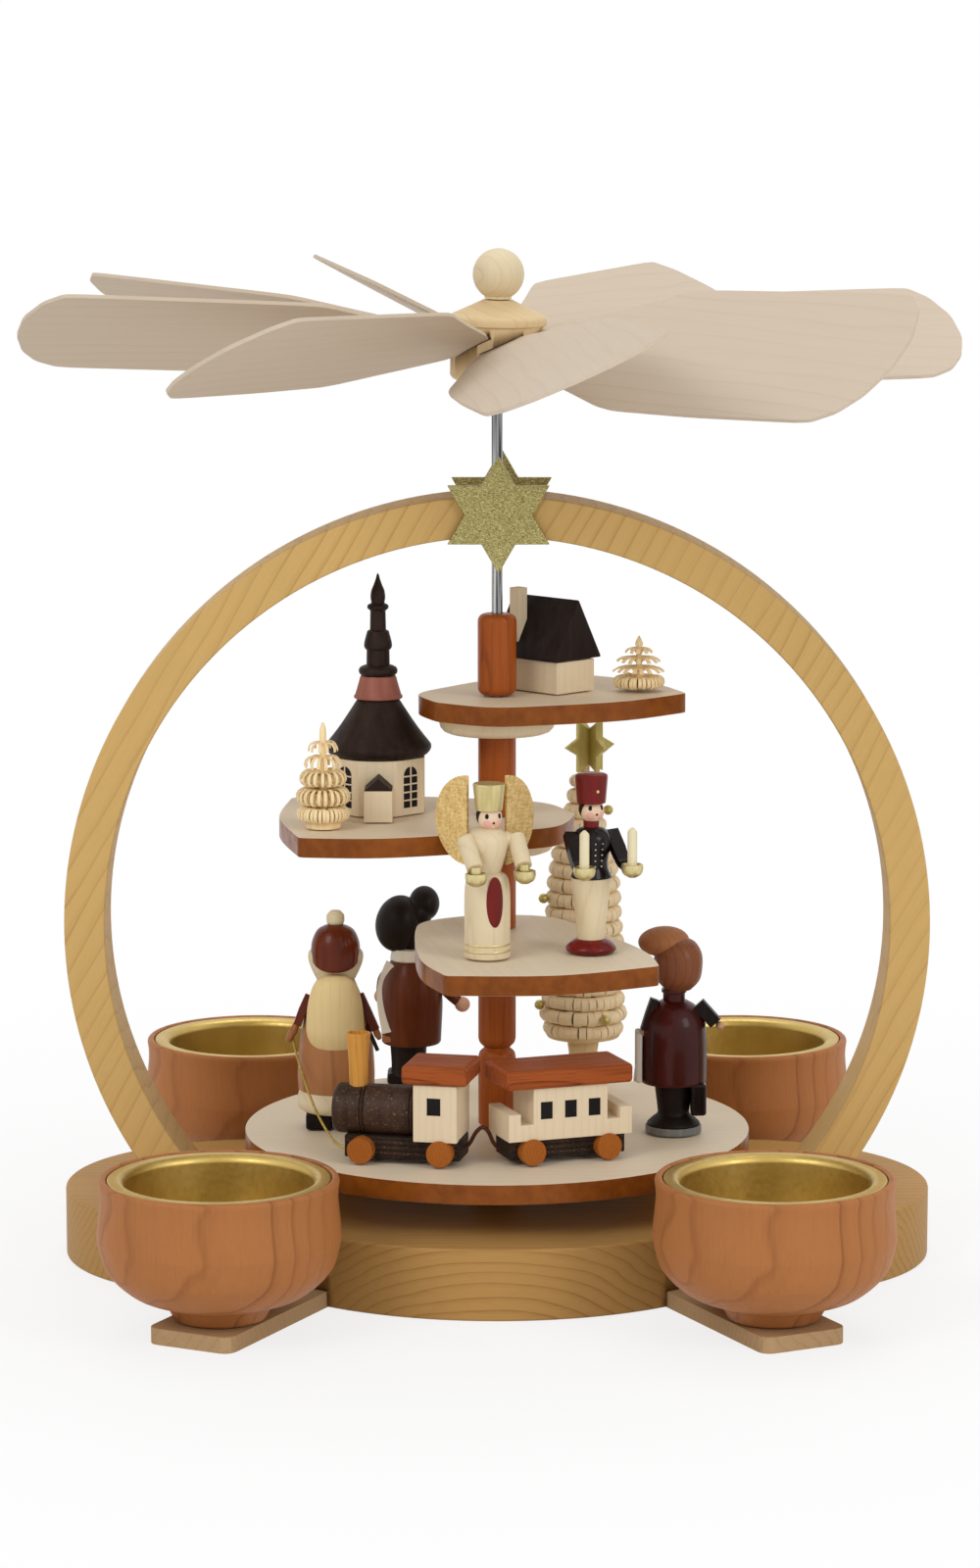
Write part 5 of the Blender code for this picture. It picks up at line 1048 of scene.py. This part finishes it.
for x, z in ((-4.7, 28.8), (-5.6, 26.6), (-6.5, 23.8), (-6.8, 20.9), (-6.5, 18.0), (-6.0, 15.2),
             (-5.5, 12.8)):
    coat_radius = 7.35 - max(z - 20, 0) * 0.21
    sash.append((x, -sqrt(max(coat_radius**2 - x**2, 0.2)), z))
hat_man.sweep(smooth(sash, 4), [(-1.25, -0.22), (1.25, -0.22), (1.25, 0.22), (-1.25, 0.22)], LINEN,
              side=(0.94, -0.55, 0))
hat_man.box((2.4, 3.4, 1.5), (-5.6, -3.4, 11.2), TAN, soft=0.4)
hat_man.ball((3.9, 3.9, 4.1), (-0.5, 1.6, 34.6), SKIN)
hat_man.ball((4.4, 4.2, 4.0), (0.5, -0.2, 35.3), BLACK, steps=40)
hat_man.ball((5.4, 5.6, 6.7), (0, 0, 0), BLACK, moved(-2.9, -0.6, 37.9, roll=12), steps=48)
hat_man.ball((3.6, 4.2, 4.1), (3.0, 1.2, 42.35), BLACK, steps=40)
hat_man.ball((4.3, 4.4, 3.9), (0.7, 0.4, 40.2), BLACK, steps=40)
hat_man.ball((4.7, 5.0, 4.6), (-0.6, 0.2, 36.4), BLACK, steps=40)
for side, path in ((-1, [(-4.6, 0.3, 26.4), (-6.4, 1.6, 24.0), (-7.0, 3.2, 20.5)]),
                   (1, [(4.4, 0.3, 26.4), (7.6, 0.2, 22.6), (11.0, 0.0, 19.2)])):
    hat_man.stick(smooth(path, 4), [1.75, 1.75, 1.7, 1.65, 1.6, 1.5, 1.45, 1.35, 1.25], COAT_BROWN)
    end = path[-1]
    hat_man.ball((1.8, 1.8, 1.8), (end[0] + 0.9 * (side > 0), end[1], end[2] - 0.6), HAND, steps=24)
hat_man.made()

COAT_MAN = moved(39.4, -6.8, ON_PLATFORM)
coat_man = Piece("coat_man_figure", "carousel", COAT_MAN, ["coat_man"], "padauk")
coat_man.lathe([(0, 0), (6.05, 0), (6.25, 0.2), (6.25, 1.5), (6.05, 1.7), (0, 1.7)], GREY)
coat_man.lathe([(0, 1.6), *smooth([(5.8, 1.7), (5.85, 2.2), (4.6, 3.4), (3.6, 4.3), (3.65, 6.0), (4.4, 11.9)],
                                  4), (0, 12)], BLACK)
coat_man.lathe([(0, 11.4), (7.1, 11.4), *smooth([(7.35, 11.7), (7.4, 16), (7.35, 21.5), (6.8, 25.6),
                                                 (5.2, 28.4), (2.9, 29.9)], 5), (0, 30.0)], DARK_RED)
coat_man.lathe([(0, 29.7), (2.45, 29.7), (2.45, 31.6), (2.8, 31.8), (2.8, 32.5), (0, 32.6)], DARK_RED,
               steps=40)
coat_man.lathe([(0, 32.3), *smooth([(2.9, 32.4), (4.8, 34.6), (5.4, 37.6), (5.2, 40.6), (3.8, 43.0),
                                    (1.8, 44.0)], 5), (0, 44.1)], HEAD_WOOD, moved(0.9, 0), steps=56)
coat_man.ball((5.7, 5.6, 3.3), (0, 0, 0), TAN, moved(-2.3, 1.6, 42.9, roll=-3), steps=48)
coat_man.box((3.5, 5.4, 7.3), (5.4, -2.6, 8.2), COAT_BLACK, soft=0.7, segments=3)
coat_man.box((1.5, 7.0, 11.1), (-7.85, -0.6, 17.4), CLOTH_GREY, soft=0.5)
slat = [(-0.9, -2.2), (0.9, -2.2), (0.9, 2.2), (-0.9, 2.2)]
coat_man.sweep([(-4.3, -0.4, 30.2), (-5.5, -0.8, 26.8), (-6.6, -1.2, 23.3)], slat, BLACK,
               side=(0.93, 0, -0.3))
coat_man.sweep([(-6.5, -1.2, 23.6), (-6.9, -1.3, 22.2)], [(x * 0.8, y * 0.6) for x, y in slat], HAND,
               side=(0.93, 0, -0.3))
coat_man.sweep([(5.4, -0.4, 29.2), (7.5, -0.8, 26.9), (9.3, -1.2, 24.9)], [(x * 1.55, y) for x, y in slat],
               BLACK, side=(0.8, 0, 0.6))
coat_man.ball((1.0, 1.5, 0.9), (10.2, -1.3, 24.4), HAND, steps=20)
coat_man.made()


# Train
def running_gear(piece, length):
    """A grooved chassis with four wooden wheels that show their end grain."""
    piece.box((length, 9.4, 4.8), (0, 0, 3.4), CHASSIS, soft=0.25)
    for height in (2.2, 3.4, 4.6):
        for side in (-1, 1):
            piece.box((length - 1.2, 0.3, 0.5), (0, side * 4.72, height), BOILER, soft=0.1)
    for x in (-8.8, 8.8):
        for side in (-1, 1):
            piece.lathe([(0, -0.6), (2.8, -0.6), (2.9, -0.5), (2.9, 2.4), (2.75, 2.65), (0, 2.7)], WHEEL_WOOD,
                        moved(x, side * 4.7, 2.95, tip=-90 * side), steps=40)


def windows(piece, places, half, low, high, side_y):
    """Dark panes at these places along the body, on both long sides."""
    for x in places:
        for side in (-1, 1):
            middle = x if side < 0 else -x
            flat = [(middle - half, low), (middle + half, low), (middle + half, high), (middle - half, high)]
            piece.slab(flat, side_y - 0.05, side_y + 0.06, WINDOW, moved(turn=0 if side < 0 else 180, tip=90),
                       soft=0.03)


ENGINE = moved(-19.7, -33.6, ON_PLATFORM, -12)
engine = Piece("engine_body", "carousel", ENGINE, ["engine"], "wenge")
running_gear(engine, 25.6)
grooves = []
for groove in (-9.4, -8.7, 1.7, 2.4):
    grooves += [(5.5, groove - 0.22), (5.2, groove), (5.5, groove + 0.22)]
engine.lathe([(0, -15.8), (3.6, -15.8), *arc((4.1, -14.4), 1.4, -80, 0, 6), *grooves, (5.5, 3.1), (0, 3.1)],
             BOILER, moved(0, 0, 10.9) @ Matrix.Rotation(pi / 2, 4, "Y"), steps=72)
engine.box((9.7, 13, 12.6), (7.75, 0, 11.7), BIRCH)
windows(engine, (7.5,), 1.5, 11.4, 15.2, 6.5)
engine.lathe([(0, -1.6), (2.05, -1.6), (2.05, 0), *smooth([(2.1, 1), (2.25, 5), (2.6, 9.4), (2.7, 10.0)], 4),
              (2.6, 10.3), (2.1, 10.35), (2.0, 9.6), (0, 9.5)], FUNNEL, moved(-10.7, 0, 17.35))
engine.made()
roof = Piece("engine_roof_board", "carousel", ENGINE @ moved(7.75, 0, 20.3), ["engine_roof"], "padauk")
roof.box((14.6, 15, 4.2), (0, 0, -0.1), PADAUK_BOARD, soft=0.9, segments=3)
roof.made()

WAGON = moved(13.8, -30.8, ON_PLATFORM, 20)
wagon = Piece("wagon_body", "carousel", WAGON, ["wagon"], "wenge")
running_gear(wagon, 26.6)
side_view = [(-14.3, 5.4), (14.3, 5.4), (14.3, 11.5), (11.5, 11.5), (11.5, 9.0), (8.6, 9.0), (8.6, 17.2),
             (-8.6, 17.2), (-8.6, 9.0), (-11.5, 9.0), (-11.5, 11.5), (-14.3, 11.5)]
wagon.slab(side_view, -6.5, 6.5, BIRCH, UPRIGHT, soft=0.18)
windows(wagon, (-5.6, 0, 5.5), 1.35, 10.1, 13.9, 6.5)
wagon.made()
roof = Piece("wagon_roof_board", "carousel", WAGON @ moved(0, 0, 19.3), ["wagon_roof"], "padauk")
roof.box((29.3, 15, 4.2), (-0.4, 0, -0.3), PADAUK_BOARD, soft=0.9, segments=3)
roof.made()


# Floor, world and lights
def floor_material():
    """White to the camera and to mirrors, with the object's soft shadow on it."""
    n = Nodes("floor", 0.9)
    n.colour(n.mix(n.noise(n.place(), 30, 2.0), (246, 246, 246), (244, 244, 244)))
    seen = n.node("ShaderNodeLightPath")
    rays = n.math("MAXIMUM", n.math("MAXIMUM", seen.outputs["Is Camera Ray"], seen.outputs["Is Glossy Ray"]),
                  seen.outputs["Is Transmission Ray"])
    glow = n.node("ShaderNodeEmission")
    glow.inputs["Color"].default_value = (1, 1, 1, 1)
    glow.inputs["Strength"].default_value = 1
    blend = n.node("ShaderNodeMixShader")
    spot = n.place()
    east, north = n.dot(spot, (1, 0, 0)), n.dot(spot, (0, 1, 0))
    away_from_it = n.math("SQRT", n.plus(n.times(east, east), n.times(north, north)))
    n.put(blend.inputs[0], n.times(rays, n.spread(away_from_it, 0.12, 0.34, 0.78, 1.0)))
    n.put(blend.inputs[1], n.shader.outputs[0])
    n.put(blend.inputs[2], glow.outputs[0])
    n.put(n.tree.nodes["Material Output"].inputs["Surface"], blend.outputs[0])
    return n.material


floor_mesh = bpy.data.meshes.new("floor")
floor_mesh.from_pydata([(-4, -4, 0), (4, -4, 0), (4, 4, 0), (-4, 4, 0)], [], [(0, 1, 2, 3)])
floor_mesh.materials.append(floor_material())
floor = bpy.data.objects.new("floor", floor_mesh)
bpy.context.scene.collection.objects.link(floor)

world = bpy.data.worlds.new("studio")
bpy.context.scene.world = world
world.use_nodes = True
tree = world.node_tree
background = tree.nodes["Background"]
background.inputs["Color"].default_value = (1, 1, 1, 1)
path = tree.nodes.new("ShaderNodeLightPath")
seen = path.outputs["Is Camera Ray"]
for other in ("Is Glossy Ray", "Is Transmission Ray"):
    largest = tree.nodes.new("ShaderNodeMath")
    largest.operation = "MAXIMUM"
    tree.links.new(seen, largest.inputs[0])
    tree.links.new(path.outputs[other], largest.inputs[1])
    seen = largest.outputs[0]
level = tree.nodes.new("ShaderNodeMapRange")
level.inputs["To Min"].default_value = 0.6
level.inputs["To Max"].default_value = 1.0
tree.links.new(seen, level.inputs["Value"])
tree.links.new(level.outputs[0], background.inputs["Strength"])


def lamp(name, place, target, size, power):
    light = bpy.data.lights.new(name, "AREA")
    light.shape = "RECTANGLE"
    light.size, light.size_y = size
    light.energy = power
    obj = bpy.data.objects.new(name, light)
    bpy.context.scene.collection.objects.link(obj)
    obj.location = place
    obj.rotation_euler = (Vector(target) - Vector(place)).to_track_quat("-Z", "Y").to_euler()


lamp("key", (-1.1, -1.3, 1.25), (0, 0, 0.1), (0.8, 0.8), 10)
lamp("fill", (1.3, -1.2, 0.9), (0, 0, 0.1), (0.7, 0.9), 9)
lamp("top", (0.1, 0.5, 1.6), (0, 0, 0.1), (1.0, 0.6), 6)

bpy.context.scene.view_settings.view_transform = "Standard"
